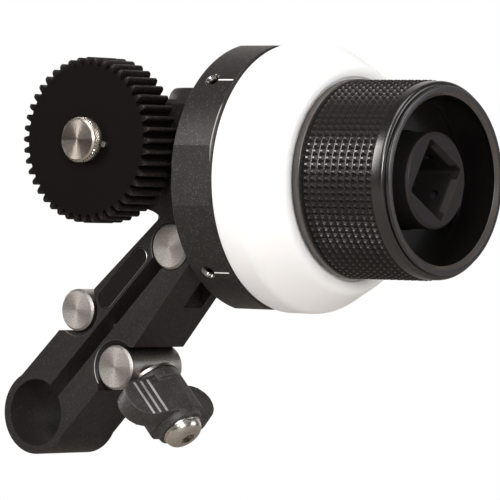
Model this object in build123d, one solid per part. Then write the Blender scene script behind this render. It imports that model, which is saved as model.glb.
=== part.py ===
from build123d import *
import os
from math import acos, cos, hypot, pi, radians, sin, tan

# Follow focus unit for a camera on 15 mm rods.  Millimetres.
# The origin is the centre of the rod bore.  +Y runs along the rod, away from the lens side; +X points to
# the handwheel; +Z is up.

# ---------------------------------------------------------------- driving dimensions
ROD = 15.1                      # bore for a 15 mm rod
ARM_WIDTH = 17.5                # arm, along the rod
ARM_HALF = 9.05                 # half the arm's depth across the 45 degree line
CLAMP_RADIUS = 9.4              # outside of the clamp round the rod
SLOT_LOW, SLOT_HIGH = -1.9, 1.6  # edges of the clamp slot, across the 45 degree line
SLOT_END = 52.0                 # along the 45 degree line

PIN, NUT_PIN = 10.0, 9.4        # the barrels in the arm: sleeve and plug, and the smaller nut
PIN_LENGTH = 18.0
PIN_CHAMFER = 0.5
NUT_AT = (11.8, 23.5)           # X, Z of each barrel
SLEEVE_AT = (23.3, 10.95)
PLUG_AT = (38.4, 38.2)
PIN_GAP = 0.03                  # radial, barrel in its seat

CLAMP_THREAD = 5.0
COLLAR, COLLAR_THICK = 13.2, 0.7
SLEEVE_FLAT = 4.2               # flat for the collar, from the barrel's centre
KNOB_LENGTH = 13.1
KNOB_SPAN = 28.0                # across the wings
KNOB_WING = 4.5                 # thickness of a wing
KNOB_FLAT = 5.5                 # pushing face of each wing, from the screw's axis
KNOB_BOSS, KNOB_NECK = 13.6, 12.8
KNOB_TURN = 12.5                # the wings' turn from the Y axis, in degrees
BUTTON_HEAD, BUTTON_HEIGHT = 9.2, 2.95

FRONT = -ARM_WIDTH / 2          # front face of arm and gearbox
BOX_REAR_X, BOX_FRONT_X = 13.0, 45.0
BOX_BACK_Y = 25.0
BOX_FLOOR_Z, BOX_TOP_Z = 46.5, 70.9
COVER_THICK = 2.0

SPINDLE_X, SPINDLE_Z = 22.7, 61.5
WHEEL_Y, WHEEL_Z = 12.5, 54.0   # handwheel axis

GEAR_MODULE, GEAR_TEETH = 0.8, 44
GEAR_WIDTH = 10.0
TOOTH_CHAMFER = 0.3
GEAR_BACK = -9.95               # Y of the drive gear's back face
THUMB, THUMB_HEIGHT = 10.0, 2.6
WASHER_THICK = 0.4

TRAIN_MODULE = 0.5
SPUR_TEETH, BEVEL_TEETH = 15, 20

RING, RING_FLATS, RING_LENGTH = 60.0, 58.5, 11.4
DISC_BACK, DISC_EDGE, DISC_FRONT = 56.9, 63.85, 73.3
DISC_SLOPE = 0.53               # fall of the cone's radius for each mm forward
WHEEL_BACK, KNURL_BACK, KNURL_FRONT, WHEEL_FRONT = 72.9, 75.3, 95.2, 98.5
KNURL = 44.0
RECESS = 38.54
HUB, HUB_FRONT = 21.3, 95.8
SOCKET, SOCKET_MOUTH, SOCKET_DEPTH = 12.2, 13.6, 11.0
SOCKET_TURN = 59.6              # first flat's direction, from +Y towards +Z

WEB_LEFT, WEB_HOLLOW = 30.2, 8.8    # hollow curve of the arm under the gearbox
SEAT_CHAMFER = 1.2
PIN_PROUD = 0.35
PLUG_LENGTH = 6.0
POCKET_X, POCKET_Y, POCKET_TOP_Z = 35.4, (-0.55, 5.85), 41.5    # pocket for the fixing screw
FIXING_AT, FIXING_THREAD, FIXING_END_Z = (42.2, 2.65), 3.0, 54.0
DOWELS, DOWEL, DOWEL_DEPTH = ((34.5, -6.7), (42.3, -6.7)), 2.5, 4.0
LABEL_V, LABEL_U, LABEL_RADIUS, LABEL_DEPTH = 4.3, (32.6, 46.3), 2.2, 0.3

WING_LENGTH, WING_INSET = 10.0, 1.4    # a wing along the screw, and its distance from the knob's back
KNOB_CHAMFER = (1.6, 1.3)       # at the boss's front edge: along the screw, and radially
STRIPE_PLACES, STRIPE_WIDTH, STRIPE_PROUD, STRIPE_LENGTH = (6.0, 7.95, 9.85), 0.6, 0.2, 9.0
STRIPE_SHIFT = 0.3              # of the ribs towards the button head

CAVITY_END_X, CAVITY_Y, CAVITY_Z = 39.5, (-4.75, 22.0), (48.3, 68.0)
COVER_SCREW_Y, COVER_SCREW_Z, COVER_THREAD, PILLAR = (-5.4, 21.6), (50.0, 67.4), 2.5, 4.6
PLATE_Y, PLATE_SEAT = (0.2, 3.2), 0.5
SPINDLE, SPINDLE_BUSH, SPINDLE_BOSS = 5.0, 7.0, 8.0
LAYSHAFT, LAYSHAFT_BUSH = 4.0, 6.0
CLIP_Y = (3.3, 4.1)
SPUR_Y = (-4.25, -0.25)
TRAIN_PLAY, BEVEL_PLAY = 0.16, 0.30     # tooth thinning at the pitch circle
PIN_DRIVE, DRIVE_PIN_AT = 1.3, (5.83, 0.92)
THUMB_THREAD, THUMB_TIP = 4.0, -12.0

BEVEL_SHAFT, WHEEL_SHAFT, WHEEL_BUSH, DISC_JOURNAL = 5.0, 8.0, 12.0, 14.0
SHAFT_STEP_X = 30.5
CIRCLIP_X = (38.6, 39.4)
BEVEL_INNER = 3.44              # from the apex along each axis; the outer end is at the pitch radius
DRAG_AT, DRAG_BORE, DRAG_BOTTOM_Z, DRAG_BOSS_Z = (33.6, 12.5), 6.0, 57.0, 60.0
PLUG_STEM, PLUG_STEM_Z = 8.0, 66.4
CAP, CAP_HEIGHT = 22.0, 2.9

HOUSING, HOUSING_FRONT = 40.0, 55.0
HOUSING_SCREWS, HOUSING_THREAD = ((-13.0, 10.0), (-13.5, -3.5), (8.0, 10.5), (10.2, -3.5)), 3.0
INDEX_ANGLES, INDEX_SCREW_X, INDEX_THREAD, GRUB_SUNK = (45, 135, 225, 315), 49.5, 3.0, 0.9
LINE_WIDTH, LINE_DEPTH, LINE_START, LINE_SHORT = 0.4, 0.15, 1.7, 1.0

FRICTION_RING_X = (60.5, 69.5)
DISC_WEB_X, DISC_RECESS = 69.8, 45.2
RECESS_FLOOR_X, RECESS_STEP = 87.5, (0.9, 0.4)   # step at the foot of the wall: along X, and radially
HUB_FLANGE, HUB_FLANGE_X = 32.4, (76.0, 84.0)   # rear flange of the hub, behind the web of the handwheel
HUB_FLOOR_X = 83.5              # end of the handwheel shaft
SOCKET_LEAD_IN = 2.2
HUB_THREAD, HUB_SCREW, HUB_SCREW_CIRCLE, HUB_SCREW_SEAT_X = 4.0, 2.5, 13.0, 82.0
HUB_SCREW_ANGLES = (45, 135, 225, 315)
SCREW_TIP = -20.2               # clamp screw's end, along its axis from the sleeve barrel

RUN = 0.04                      # radial running clearance
FIT = 0.02                      # radial gap between fixed pieces

GEAR_FRONT = GEAR_BACK - GEAR_WIDTH
RING_FRONT = BOX_FRONT_X + RING_LENGTH


def y_axis(x, z):
    """Axis along +Y; its local x is +X and its local y is -Z."""
    return Plane(origin=(x, 0, z), x_dir=(1, 0, 0), z_dir=(0, 1, 0))


def x_axis(y, z):
    """Axis along +X; its local x is +Y and its local y is +Z."""
    return Plane(origin=(0, y, z), x_dir=(0, 1, 0), z_dir=(1, 0, 0))


wheel_axis = x_axis(WHEEL_Y, WHEEL_Z)
spindle_axis = y_axis(SPINDLE_X, SPINDLE_Z)
layshaft_axis = y_axis(SPINDLE_X, WHEEL_Z)

# the clamp screw's axis runs from the nut barrel through the sleeve barrel and out to the knob
screw_run = hypot(SLEEVE_AT[0] - NUT_AT[0], SLEEVE_AT[1] - NUT_AT[1])
screw_dir = ((SLEEVE_AT[0] - NUT_AT[0]) / screw_run, 0, (SLEEVE_AT[1] - NUT_AT[1]) / screw_run)
screw_axis = Plane(origin=(SLEEVE_AT[0], 0, SLEEVE_AT[1]), x_dir=(0, 1, 0), z_dir=screw_dir)
knob_place = screw_axis.location * Rot(0, 0, KNOB_TURN)     # local -x and +y: the first wing
KNOB_BACK = SLEEVE_FLAT + COLLAR_THICK + FIT    # distances along the screw's axis from the sleeve barrel
KNOB_FRONT = KNOB_BACK + KNOB_LENGTH

fixing_axis = Plane(origin=(FIXING_AT[0], FIXING_AT[1], 0))
BEVEL_AXES = {"wheel": wheel_axis, "layshaft": layshaft_axis}
BEVEL_APEX = {"wheel": SPINDLE_X, "layshaft": WHEEL_Y}
BEVEL_PITCH = BEVEL_TEETH * TRAIN_MODULE / 2
BEVEL_INNER_Y = WHEEL_Y - BEVEL_INNER


# ---------------------------------------------------------------- building blocks
def turned(axis, profile):
    """Solid of revolution: profile lists (distance along the axis, radius)."""
    outline = Wire.make_polygon([(radius, 0, along) for along, radius in profile], close=True)
    return axis.location * revolve(Face(outline), Axis.Z)


def bar(axis, start, end, radius, across=(0, 0)):
    """Plain cylinder along an axis, from start to end, centred across the axis."""
    base = axis.location * Location((across[0], across[1], start))
    return base * Solid.make_cylinder(radius, end - start)


def block(x, y, z):
    """Box between pairs of X, Y and Z."""
    size = [high - low for low, high in (x, y, z)]
    centre = [(high + low) / 2 for low, high in (x, y, z)]
    return Pos(*centre) * Box(*size)


def polar(radius, angle):
    """Point at a radius and an angle in degrees."""
    return (radius * cos(radians(angle)), radius * sin(radians(angle)))


def along_arm(u, v):
    """X, Z of a point u along the 45 degree line and v to its upper left."""
    return ((u - v) / 2 ** 0.5, (u + v) / 2 ** 0.5)


def side_face(points):
    """Face in the XZ plane from X, Z pairs."""
    return Face(Wire.make_polygon([(x, 0, z) for x, z in points], close=True))


def through(face, half_width):
    """A face in the XZ plane, thickened equally to both sides."""
    return Pos(0, -half_width, 0) * extrude(face, 2 * half_width, dir=(0, 1, 0))


def gear_outline(teeth, module, addendum, dedendum, play):
    """Involute gear outline with a tooth centred on the local X axis; play thins each tooth."""
    pitch = teeth * module / 2
    base = pitch * cos(radians(20))
    radii = (pitch - dedendum * module, base, pitch, pitch + addendum * module / 2, pitch + addendum * module)
    involute = [tan(acos(base / max(radius, base))) - acos(base / max(radius, base)) for radius in radii]
    half = pi / (2 * teeth) - play / (2 * pitch)
    flank = [(radius, half + involute[2] - turn) for radius, turn in zip(radii, involute)]
    flank = sorted(flank)
    points = []
    for tooth in range(teeth):
        middle = 2 * pi * tooth / teeth
        points += [(radius, middle - angle) for radius, angle in flank]
        points += [(radius, middle + angle) for radius, angle in reversed(flank)]
    return [(radius * cos(angle), radius * sin(angle)) for radius, angle in points]


def gear_face(outline, scale=1.0, height=0.0):
    return Face(Wire.make_polygon([(x * scale, y * scale, height) for x, y in outline], close=True))


def socket_screw(axis, across, seat, tip, thread, head, head_height, key):
    """Cap screw: the head stands from seat away from tip; both are distances along the axis."""
    out = 1 if seat > tip else -1
    shank = bar(axis, min(seat, tip), max(seat, tip), thread / 2, across)
    top = seat + out * head_height
    cap = bar(axis, min(seat, top), max(seat, top), head / 2, across)
    floor = top - out * head_height * 0.55
    hexagon = extrude(RegularPolygon(key / 2, 6, major_radius=False), abs(top - floor) + 0.1)
    base = min(floor, top) if out > 0 else min(floor, top) - 0.1
    recess = axis.location * Location((across[0], across[1], base)) * hexagon
    return shank + cap - recess


def save(name, *shapes):
    """One file per node; a node of several pieces holds them as separate solids."""
    solids = [solid for shape in shapes for solid in shape.solids()]
    shape = solids[0] if len(solids) == 1 else Compound(children=solids)
    shape.label = name
    export_step(shape, f"parts/{name}.step")


os.makedirs("parts", exist_ok=True)


# ---------------------------------------------------------------- clamp arm
def make_clamp_arm():
    """45 degree arm: split rod clamp below, flange for the gearbox above."""
    seat, nut_seat = PIN / 2 + PIN_GAP, NUT_PIN / 2 + PIN_GAP
    nut_x, nut_z = NUT_AT
    sleeve_x, sleeve_z = SLEEVE_AT
    upper = [along_arm(0, ARM_HALF), (6.5, 18.8), (nut_x, 18.8), NUT_AT, (nut_x + nut_seat, nut_z),
             (nut_x + nut_seat, 28.3), (35.5, 44.8), (37.5, BOX_FLOOR_Z)]
    lower = [(BOX_FRONT_X, BOX_FLOOR_Z), (BOX_FRONT_X, 35.7), (44.2, 34.7), (28.3, 15.6),
             (sleeve_x, 15.6), SLEEVE_AT, (sleeve_x - seat, sleeve_z), (sleeve_x - seat, 5.6),
             along_arm(0, -ARM_HALF)]
    arm = through(side_face(upper + lower), ARM_WIDTH / 2)
    arm += bar(y_axis(0, 0), FRONT, -FRONT, CLAMP_RADIUS)
    # the web under the gearbox ends in a hollow curve
    web = block((WEB_LEFT, BOX_FRONT_X), (FRONT, -FRONT), (BOX_FLOOR_Z - WEB_HOLLOW, BOX_FLOOR_Z))
    arm += web - bar(y_axis(WEB_LEFT, BOX_FLOOR_Z - WEB_HOLLOW), FRONT, -FRONT, WEB_HOLLOW)

    slot = [along_arm(0, SLOT_LOW), along_arm(SLOT_END, SLOT_LOW), along_arm(SLOT_END, SLOT_HIGH),
            along_arm(0, SLOT_HIGH)]
    arm -= through(side_face(slot), ARM_WIDTH)
    arm -= bar(y_axis(0, 0), -ARM_WIDTH, ARM_WIDTH, ROD / 2)
    for at, bore in ((NUT_AT, nut_seat), (SLEEVE_AT, seat)):
        arm -= bar(y_axis(*at), -ARM_WIDTH, ARM_WIDTH, bore)
        arm -= turned(y_axis(*at), [(FRONT - 0.1, 0), (FRONT - 0.1, bore + SEAT_CHAMFER + 0.1),
                                    (FRONT + SEAT_CHAMFER, bore), (FRONT + SEAT_CHAMFER, 0)])
    arm -= bar(screw_axis, -screw_run, 0, CLAMP_THREAD / 2 + 0.25)
    plug_bore = y_axis(*PLUG_AT)
    arm -= bar(plug_bore, FRONT - 1, FRONT + PLUG_LENGTH + FIT, seat)
    arm -= bar(plug_bore, FRONT - 1, FRONT + 0.4, seat + 0.5)

    arm -= block((POCKET_X, BOX_FRONT_X + 2), POCKET_Y, (24.6, POCKET_TOP_Z))
    arm -= bar(fixing_axis, 0, BOX_FLOOR_Z + 1, FIXING_THREAD / 2 + 0.2)
    for dowel in DOWELS:
        arm -= bar(Plane.XY, BOX_FLOOR_Z - DOWEL_DEPTH, BOX_FLOOR_Z + 1, DOWEL / 2 + FIT, dowel)

    # shallow pad for a label, left bare
    ends = [along_arm(u, LABEL_V) for u in LABEL_U]
    pad = bar(y_axis(*ends[0]), FRONT - 1, FRONT + LABEL_DEPTH, LABEL_RADIUS)
    pad += bar(y_axis(*ends[1]), FRONT - 1, FRONT + LABEL_DEPTH, LABEL_RADIUS)
    sides = [along_arm(u, LABEL_V + side * LABEL_RADIUS) for u, side in
             ((LABEL_U[0], -1), (LABEL_U[1], -1), (LABEL_U[1], 1), (LABEL_U[0], 1))]
    pad += Pos(0, FRONT + LABEL_DEPTH - 2, 0) * extrude(side_face(sides), 2, dir=(0, 1, 0))
    return arm - pad


def make_barrel(at, across, length=PIN_LENGTH):
    """Round barrel with chamfered ends, standing a little proud of the arm's front face."""
    front = FRONT - PIN_PROUD
    radius = across / 2
    return turned(y_axis(*at), [(front, 0), (front, radius - PIN_CHAMFER), (front + PIN_CHAMFER, radius),
                                (front + length - PIN_CHAMFER, radius),
                                (front + length, radius - PIN_CHAMFER), (front + length, 0)])


def make_barrel_nut():
    return make_barrel(NUT_AT, NUT_PIN) - bar(screw_axis, SCREW_TIP - 0.4, 0, CLAMP_THREAD / 2 + RUN)


def make_barrel_sleeve():
    sleeve = make_barrel(SLEEVE_AT, PIN) - bar(screw_axis, -PIN, PIN, CLAMP_THREAD / 2 + 0.25)
    flat = screw_axis.location * Pos(0, 0, SLEEVE_FLAT + 2) * Box(COLLAR + 1, PIN, 4)
    return sleeve - flat


# ---------------------------------------------------------------- clamp screw, collar and knob
def make_clamp_collar():
    ring = bar(screw_axis, SLEEVE_FLAT, SLEEVE_FLAT + COLLAR_THICK, COLLAR / 2)
    return ring - bar(screw_axis, 0, KNOB_FRONT, CLAMP_THREAD / 2 + RUN)


def make_clamp_screw():
    """Button head screw: domed head outside the knob, shank through to the nut barrel."""
    top = KNOB_FRONT + BUTTON_HEIGHT
    radius = BUTTON_HEAD / 2
    dome = [(KNOB_FRONT + 0.7 + (BUTTON_HEIGHT - 0.7) * sin(radians(angle)),
             radius * (0.52 + 0.48 * cos(radians(angle)))) for angle in range(0, 91, 15)]
    screw = turned(screw_axis, [(SCREW_TIP, 0), (SCREW_TIP, CLAMP_THREAD / 2), (KNOB_FRONT, CLAMP_THREAD / 2),
                                (KNOB_FRONT, radius)] + dome + [(top, 0)])
    key = extrude(RegularPolygon(1.5, 6, major_radius=False), 3)
    return screw - screw_axis.location * Pos(0, 0, top - 1.8) * key


def make_wing_knob():
    """Moulded knob: two round-ended wings on opposite sides of the axis, flush with flats of the boss."""
    low, reach = KNOB_FLAT - KNOB_WING, KNOB_SPAN / 2 - WING_LENGTH / 2
    middle = KNOB_BACK + WING_INSET + WING_LENGTH / 2
    along, inwards = KNOB_CHAMFER
    boss = turned(Plane.XY, [(KNOB_BACK, 0), (KNOB_BACK, KNOB_BOSS / 2), (KNOB_FRONT - along, KNOB_BOSS / 2),
                             (KNOB_FRONT, KNOB_BOSS / 2 - inwards), (KNOB_FRONT, 0)])
    boss &= Pos(0, 0, middle) * Box(KNOB_BOSS + 1, 2 * KNOB_FLAT, 2 * KNOB_LENGTH)
    boss += Pos(0, 0, KNOB_BACK) * Solid.make_cylinder(KNOB_NECK / 2, WING_INSET)
    for half_turn in (0, 180):
        wing = Pos(-reach / 2, (low + KNOB_FLAT) / 2, middle) * Box(reach, KNOB_WING, WING_LENGTH)
        end = Plane(origin=(-reach, low, middle), z_dir=(0, 1, 0))
        wing += Solid.make_cylinder(WING_LENGTH / 2, KNOB_WING, end)
        boss += Rot(0, 0, half_turn) * wing
    return knob_place * boss - bar(screw_axis, 0, KNOB_FRONT + 1, CLAMP_THREAD / 2 + FIT)


def make_knob_stripes():
    """Three silver ribs on the pushing face of each wing, along the screw."""
    middle = KNOB_BACK + WING_INSET + WING_LENGTH / 2 + STRIPE_SHIFT
    stripes = []
    for half_turn in (0, 180):
        for place in STRIPE_PLACES:
            rib = Box(STRIPE_WIDTH, STRIPE_PROUD, STRIPE_LENGTH)
            rib = Pos(-place, KNOB_FLAT + STRIPE_PROUD / 2, middle) * rib
            stripes.append(knob_place * Rot(0, 0, half_turn) * rib)
    return stripes


# ---------------------------------------------------------------- gearbox
def make_gearbox_body():
    """Box for the gear train, closed by a cover on the left, solid towards the handwheel."""
    box = block((BOX_REAR_X, BOX_FRONT_X), (FRONT, BOX_BACK_Y), (BOX_FLOOR_Z, BOX_TOP_Z))
    box = chamfer(box.edges().filter_by(Axis.X).sort_by(Axis.Z)[-2:], 1.0)
    cavity = block((BOX_REAR_X - 1, CAVITY_END_X), CAVITY_Y, CAVITY_Z)
    for y in COVER_SCREW_Y:
        for z in COVER_SCREW_Z:
            cavity -= block((BOX_REAR_X, BOX_REAR_X + PILLAR), (y - 2.6, y + 2.6), (z - 2.6, z + 2.6))
    box -= cavity
    box += bar(Plane.XY, DRAG_BOSS_Z, CAVITY_Z[1] + 0.5, 5.2, DRAG_AT)
    for y in COVER_SCREW_Y:
        for z in COVER_SCREW_Z:
            box -= bar(x_axis(y, z), BOX_REAR_X - 1, BOX_REAR_X + PILLAR, COVER_THREAD / 2 + FIT)
    # grooves that hold the bearing plate
    box -= block((BOX_REAR_X + 1.5, CAVITY_END_X), (PLATE_Y[0] - FIT, PLATE_Y[1] + FIT),
                 (CAVITY_Z[0] - PLATE_SEAT, CAVITY_Z[1] + PLATE_SEAT))
    # bush bores in the front wall, and the handwheel shaft's in the solid end
    box -= bar(spindle_axis, FRONT - 1, CAVITY_Y[0] + 1, SPINDLE_BUSH / 2 + FIT)
    box -= bar(layshaft_axis, FRONT - 1, CAVITY_Y[0] + 1, LAYSHAFT_BUSH / 2 + FIT)
    box -= bar(wheel_axis, CAVITY_END_X - 1, BOX_FRONT_X + 1, WHEEL_BUSH / 2 + FIT)
    # drag pad, spring and plug on the handwheel shaft
    box -= bar(Plane.XY, DRAG_BOTTOM_Z - 1, BOX_TOP_Z + 1, DRAG_BORE / 2, DRAG_AT)
    box -= bar(Plane.XY, PLUG_STEM_Z, BOX_TOP_Z + 1, PLUG_STEM / 2 + FIT, DRAG_AT)
    box -= bar(fixing_axis, BOX_FLOOR_Z - 1, FIXING_END_Z + 0.5, FIXING_THREAD / 2 + FIT)
    for dowel in DOWELS:
        box -= bar(Plane.XY, BOX_FLOOR_Z - 1, BOX_FLOOR_Z + DOWEL_DEPTH, DOWEL / 2 + FIT, dowel)
    for y, z in HOUSING_SCREWS:
        tapping = x_axis(WHEEL_Y + y, WHEEL_Z + z)
        box -= bar(tapping, CAVITY_END_X - 1, BOX_FRONT_X + 1, HOUSING_THREAD / 2 + FIT)
    return box


def make_rear_cover():
    cover = block((BOX_REAR_X - COVER_THICK, BOX_REAR_X), (FRONT, BOX_BACK_Y), (BOX_FLOOR_Z, BOX_TOP_Z))
    cover = chamfer(cover.edges().filter_by(Axis.X), 1.0)
    sink = COVER_THREAD / 2
    for y in COVER_SCREW_Y:
        for z in COVER_SCREW_Z:
            back = BOX_REAR_X - COVER_THICK
            cover -= turned(x_axis(y, z), [(back - 1, 0), (back - 1, 2 * sink + FIT), (back, 2 * sink + FIT),
                                           (back + sink, sink + 0.15), (BOX_REAR_X + 1, sink + 0.15),
                                           (BOX_REAR_X + 1, 0)])
    return cover


def make_cover_screws():
    """Countersunk screws, flush with the cover."""
    screws = []
    for y in COVER_SCREW_Y:
        for z in COVER_SCREW_Z:
            back = BOX_REAR_X - COVER_THICK
            thread = COVER_THREAD / 2
            screw = turned(x_axis(y, z), [(back, 0), (back, 2 * thread), (back + thread, thread),
                                          (BOX_REAR_X + 4, thread), (BOX_REAR_X + 4, 0)])
            key = x_axis(y, z).location * Pos(0, 0, back - 0.5) * extrude(
                RegularPolygon(0.75, 6, major_radius=False), 1.5)
            screws.append(screw - key)
    return screws


def make_bearing_plate():
    plate = block((BOX_REAR_X + 1.7, CAVITY_END_X - 0.2), PLATE_Y,
                  (CAVITY_Z[0] - PLATE_SEAT + 0.03, CAVITY_Z[1] + PLATE_SEAT - 0.03))
    plate -= bar(spindle_axis, PLATE_Y[0] - 1, PLATE_Y[1] + 1, SPINDLE_BUSH / 2 + FIT)
    return plate - bar(layshaft_axis, PLATE_Y[0] - 1, PLATE_Y[1] + 1, LAYSHAFT_BUSH / 2 + FIT)


def make_bush(axis, start, end, outside, shaft):
    return bar(axis, start, end, outside / 2) - bar(axis, start - 1, end + 1, shaft / 2 + RUN)


def make_train_bushes(axis, outside, shaft):
    """One bush in the gearbox's front wall and one in the bearing plate."""
    return [make_bush(axis, FRONT + 0.3, CAVITY_Y[0], outside, shaft),
            make_bush(axis, PLATE_Y[0], PLATE_Y[1], outside, shaft)]


def make_wheel_bushes():
    """Bushes for the handwheel shaft: plain in the gearbox, flanged in the bearing housing."""
    flange = WHEEL_BUSH / 2 + 1.2
    inner = bar(wheel_axis, CAVITY_END_X, BOX_FRONT_X, WHEEL_BUSH / 2)
    outer = turned(wheel_axis, [(HOUSING_FRONT - 6, 0), (HOUSING_FRONT - 6, WHEEL_BUSH / 2),
                                (HOUSING_FRONT, WHEEL_BUSH / 2), (HOUSING_FRONT, flange),
                                (HOUSING_FRONT + 0.8, flange), (HOUSING_FRONT + 0.8, 0)])
    hole = bar(wheel_axis, CAVITY_END_X - 2, HOUSING_FRONT + 2, WHEEL_SHAFT / 2 + RUN)
    return [inner - hole, outer - hole]


def make_top_plug():
    """Low round cap on the gearbox, screwed in over the drag spring."""
    plug = turned(Plane((DRAG_AT[0], DRAG_AT[1], 0)), [
        (PLUG_STEM_Z, 0), (PLUG_STEM_Z, PLUG_STEM / 2), (BOX_TOP_Z, PLUG_STEM / 2), (BOX_TOP_Z, CAP / 2),
        (BOX_TOP_Z + 1.6, CAP / 2 - 0.5), (BOX_TOP_Z + CAP_HEIGHT - 0.4, CAP / 2 - 1.0),
        (BOX_TOP_Z + CAP_HEIGHT, CAP / 2 - 1.8), (BOX_TOP_Z + CAP_HEIGHT, 0)])
    return plug - bar(Plane.XY, PLUG_STEM_Z - 1, PLUG_STEM_Z + 1.2, DRAG_BORE / 2 - 0.8, DRAG_AT)


def make_drag_pad():
    pad = bar(Plane.XY, DRAG_BOTTOM_Z, DRAG_BOTTOM_Z + 3.2, DRAG_BORE / 2 - FIT, DRAG_AT)
    return pad - bar(wheel_axis, 0, BOX_FRONT_X, WHEEL_SHAFT / 2 + RUN)


def make_drag_spring():
    """Stack of wave washers between pad and plug, as one sleeve."""
    low = DRAG_BOTTOM_Z + 3.2
    ring = bar(Plane.XY, low, PLUG_STEM_Z, DRAG_BORE / 2 - 0.3, DRAG_AT)
    return ring - bar(Plane.XY, low - 1, PLUG_STEM_Z + 1, DRAG_BORE / 2 - 1.1, DRAG_AT)


# ---------------------------------------------------------------- bearing housing and index ring
def make_bearing_housing():
    """Flanged housing: carries the outer bush and the index ring."""
    flange_x = BOX_FRONT_X + 7
    housing = turned(wheel_axis, [(BOX_FRONT_X, 0), (BOX_FRONT_X, HOUSING / 2), (flange_x, HOUSING / 2),
                                  (flange_x, 10.0), (HOUSING_FRONT, 10.0), (HOUSING_FRONT, 0)])
    housing -= bar(wheel_axis, BOX_FRONT_X - 1, HOUSING_FRONT + 1, WHEEL_BUSH / 2 + FIT)
    for y, z in HOUSING_SCREWS:
        axis = x_axis(WHEEL_Y + y, WHEEL_Z + z)
        housing -= bar(axis, BOX_FRONT_X - 1, HOUSING_FRONT, HOUSING_THREAD / 2 + 0.2)
        housing -= bar(axis, BOX_FRONT_X + 3.5, HOUSING_FRONT, 2.9)
    return housing


def make_housing_screws():
    return [socket_screw(x_axis(WHEEL_Y + y, WHEEL_Z + z), (0, 0), BOX_FRONT_X + 3.5, CAVITY_END_X + 0.3,
                         HOUSING_THREAD, 5.5, 3.0, 2.5) for y, z in HOUSING_SCREWS]


def make_index_ring():
    """Black ring round the housing, with four flats, held by four grub screws."""
    radius = RING / 2
    ring = turned(wheel_axis, [(BOX_FRONT_X, HOUSING / 2 + FIT), (BOX_FRONT_X, radius - 0.5),
                               (BOX_FRONT_X + 0.5, radius), (RING_FRONT - 0.6, radius),
                               (RING_FRONT, radius - 0.6), (RING_FRONT, HOUSING / 2 + 4),
                               (BOX_FRONT_X + 9, HOUSING / 2 + 4), (BOX_FRONT_X + 9, HOUSING / 2 + FIT)])
    flats = wheel_axis.location * Pos(0, 0, BOX_FRONT_X + RING_LENGTH / 2) * Box(RING_FLATS, RING_FLATS,
                                                                                RING_LENGTH + 2)
    ring = ring & flats
    for angle in INDEX_ANGLES:
        spoke = spoke_axis(angle, INDEX_SCREW_X)
        ring -= bar(spoke, HOUSING / 2 - 1, radius + 1, INDEX_THREAD / 2 + FIT)
    for line in make_index_lines(LINE_DEPTH + 0.1):
        ring -= line
    return ring


def spoke_axis(angle, x):
    """Axis that points out from the handwheel axis at an angle from +Y towards +Z."""
    out = (0, cos(radians(angle)), sin(radians(angle)))
    return Plane(origin=(x, WHEEL_Y, WHEEL_Z), x_dir=(1, 0, 0), z_dir=out)


def make_index_lines(height=None):
    """White lines let into the ring's surface, from beside each grub screw towards the front edge."""
    lines = []
    start, end = INDEX_SCREW_X + LINE_START, RING_FRONT - LINE_SHORT
    for angle in INDEX_ANGLES:
        tall = LINE_DEPTH if height is None else height
        line = Box(end - start, LINE_WIDTH, tall)
        middle = RING / 2 - LINE_DEPTH + tall / 2 - 0.01
        lines.append(spoke_axis(angle, (start + end) / 2).location * Pos(0, 0, middle) * line)
    return lines


def make_index_screws():
    """Grub screws with hexagon sockets, sunk a little in their holes."""
    screws = []
    for angle in INDEX_ANGLES:
        spoke = spoke_axis(angle, INDEX_SCREW_X)
        screw = bar(spoke, HOUSING / 2 + FIT, RING / 2 - GRUB_SUNK, INDEX_THREAD / 2)
        key = extrude(RegularPolygon(0.75, 6, major_radius=False), 3)
        screws.append(screw - spoke.location * Pos(0, 0, RING / 2 - GRUB_SUNK - 1.6) * key)
    return screws


# ---------------------------------------------------------------- spindle and drive gear
def make_gear_spindle():
    """Spindle with a flange that drives the gear and a boss the gear sits on."""
    spindle = turned(spindle_axis, [(GEAR_FRONT + 0.5, 0), (GEAR_FRONT + 0.5, SPINDLE_BOSS / 2),
                                    (GEAR_BACK, SPINDLE_BOSS / 2), (GEAR_BACK, 8.0), (FRONT - 0.3, 8.0),
                                    (FRONT - 0.3, SPINDLE / 2), (CLIP_Y[0], SPINDLE / 2),
                                    (CLIP_Y[0], SPINDLE / 2 - 0.5), (CLIP_Y[1], SPINDLE / 2 - 0.5),
                                    (CLIP_Y[1], SPINDLE / 2), (CLIP_Y[1] + 0.8, SPINDLE / 2),
                                    (CLIP_Y[1] + 0.8, 0)])
    spindle -= bar(spindle_axis, GEAR_FRONT, THUMB_TIP + 0.6, THUMB_THREAD / 2 + RUN)
    return spindle - bar(spindle_axis, GEAR_BACK - 1, FRONT, PIN_DRIVE / 2 + FIT, DRIVE_PIN_AT)


def make_spur(axis, shaft):
    """Spur pinion of the train, with its teeth in the gap between wall and bearing plate."""
    outline = gear_outline(SPUR_TEETH, TRAIN_MODULE, 0.8, 1.2, TRAIN_PLAY)
    # a tooth points up: local -y is +Z
    turn = Rot(0, 0, -90)
    face = gear_face(outline)
    gear = axis.location * Pos(0, 0, SPUR_Y[0]) * turn * extrude(face, SPUR_Y[1] - SPUR_Y[0])
    return gear - bar(axis, SPUR_Y[0] - 1, SPUR_Y[1] + 1, shaft / 2 + FIT)


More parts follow.
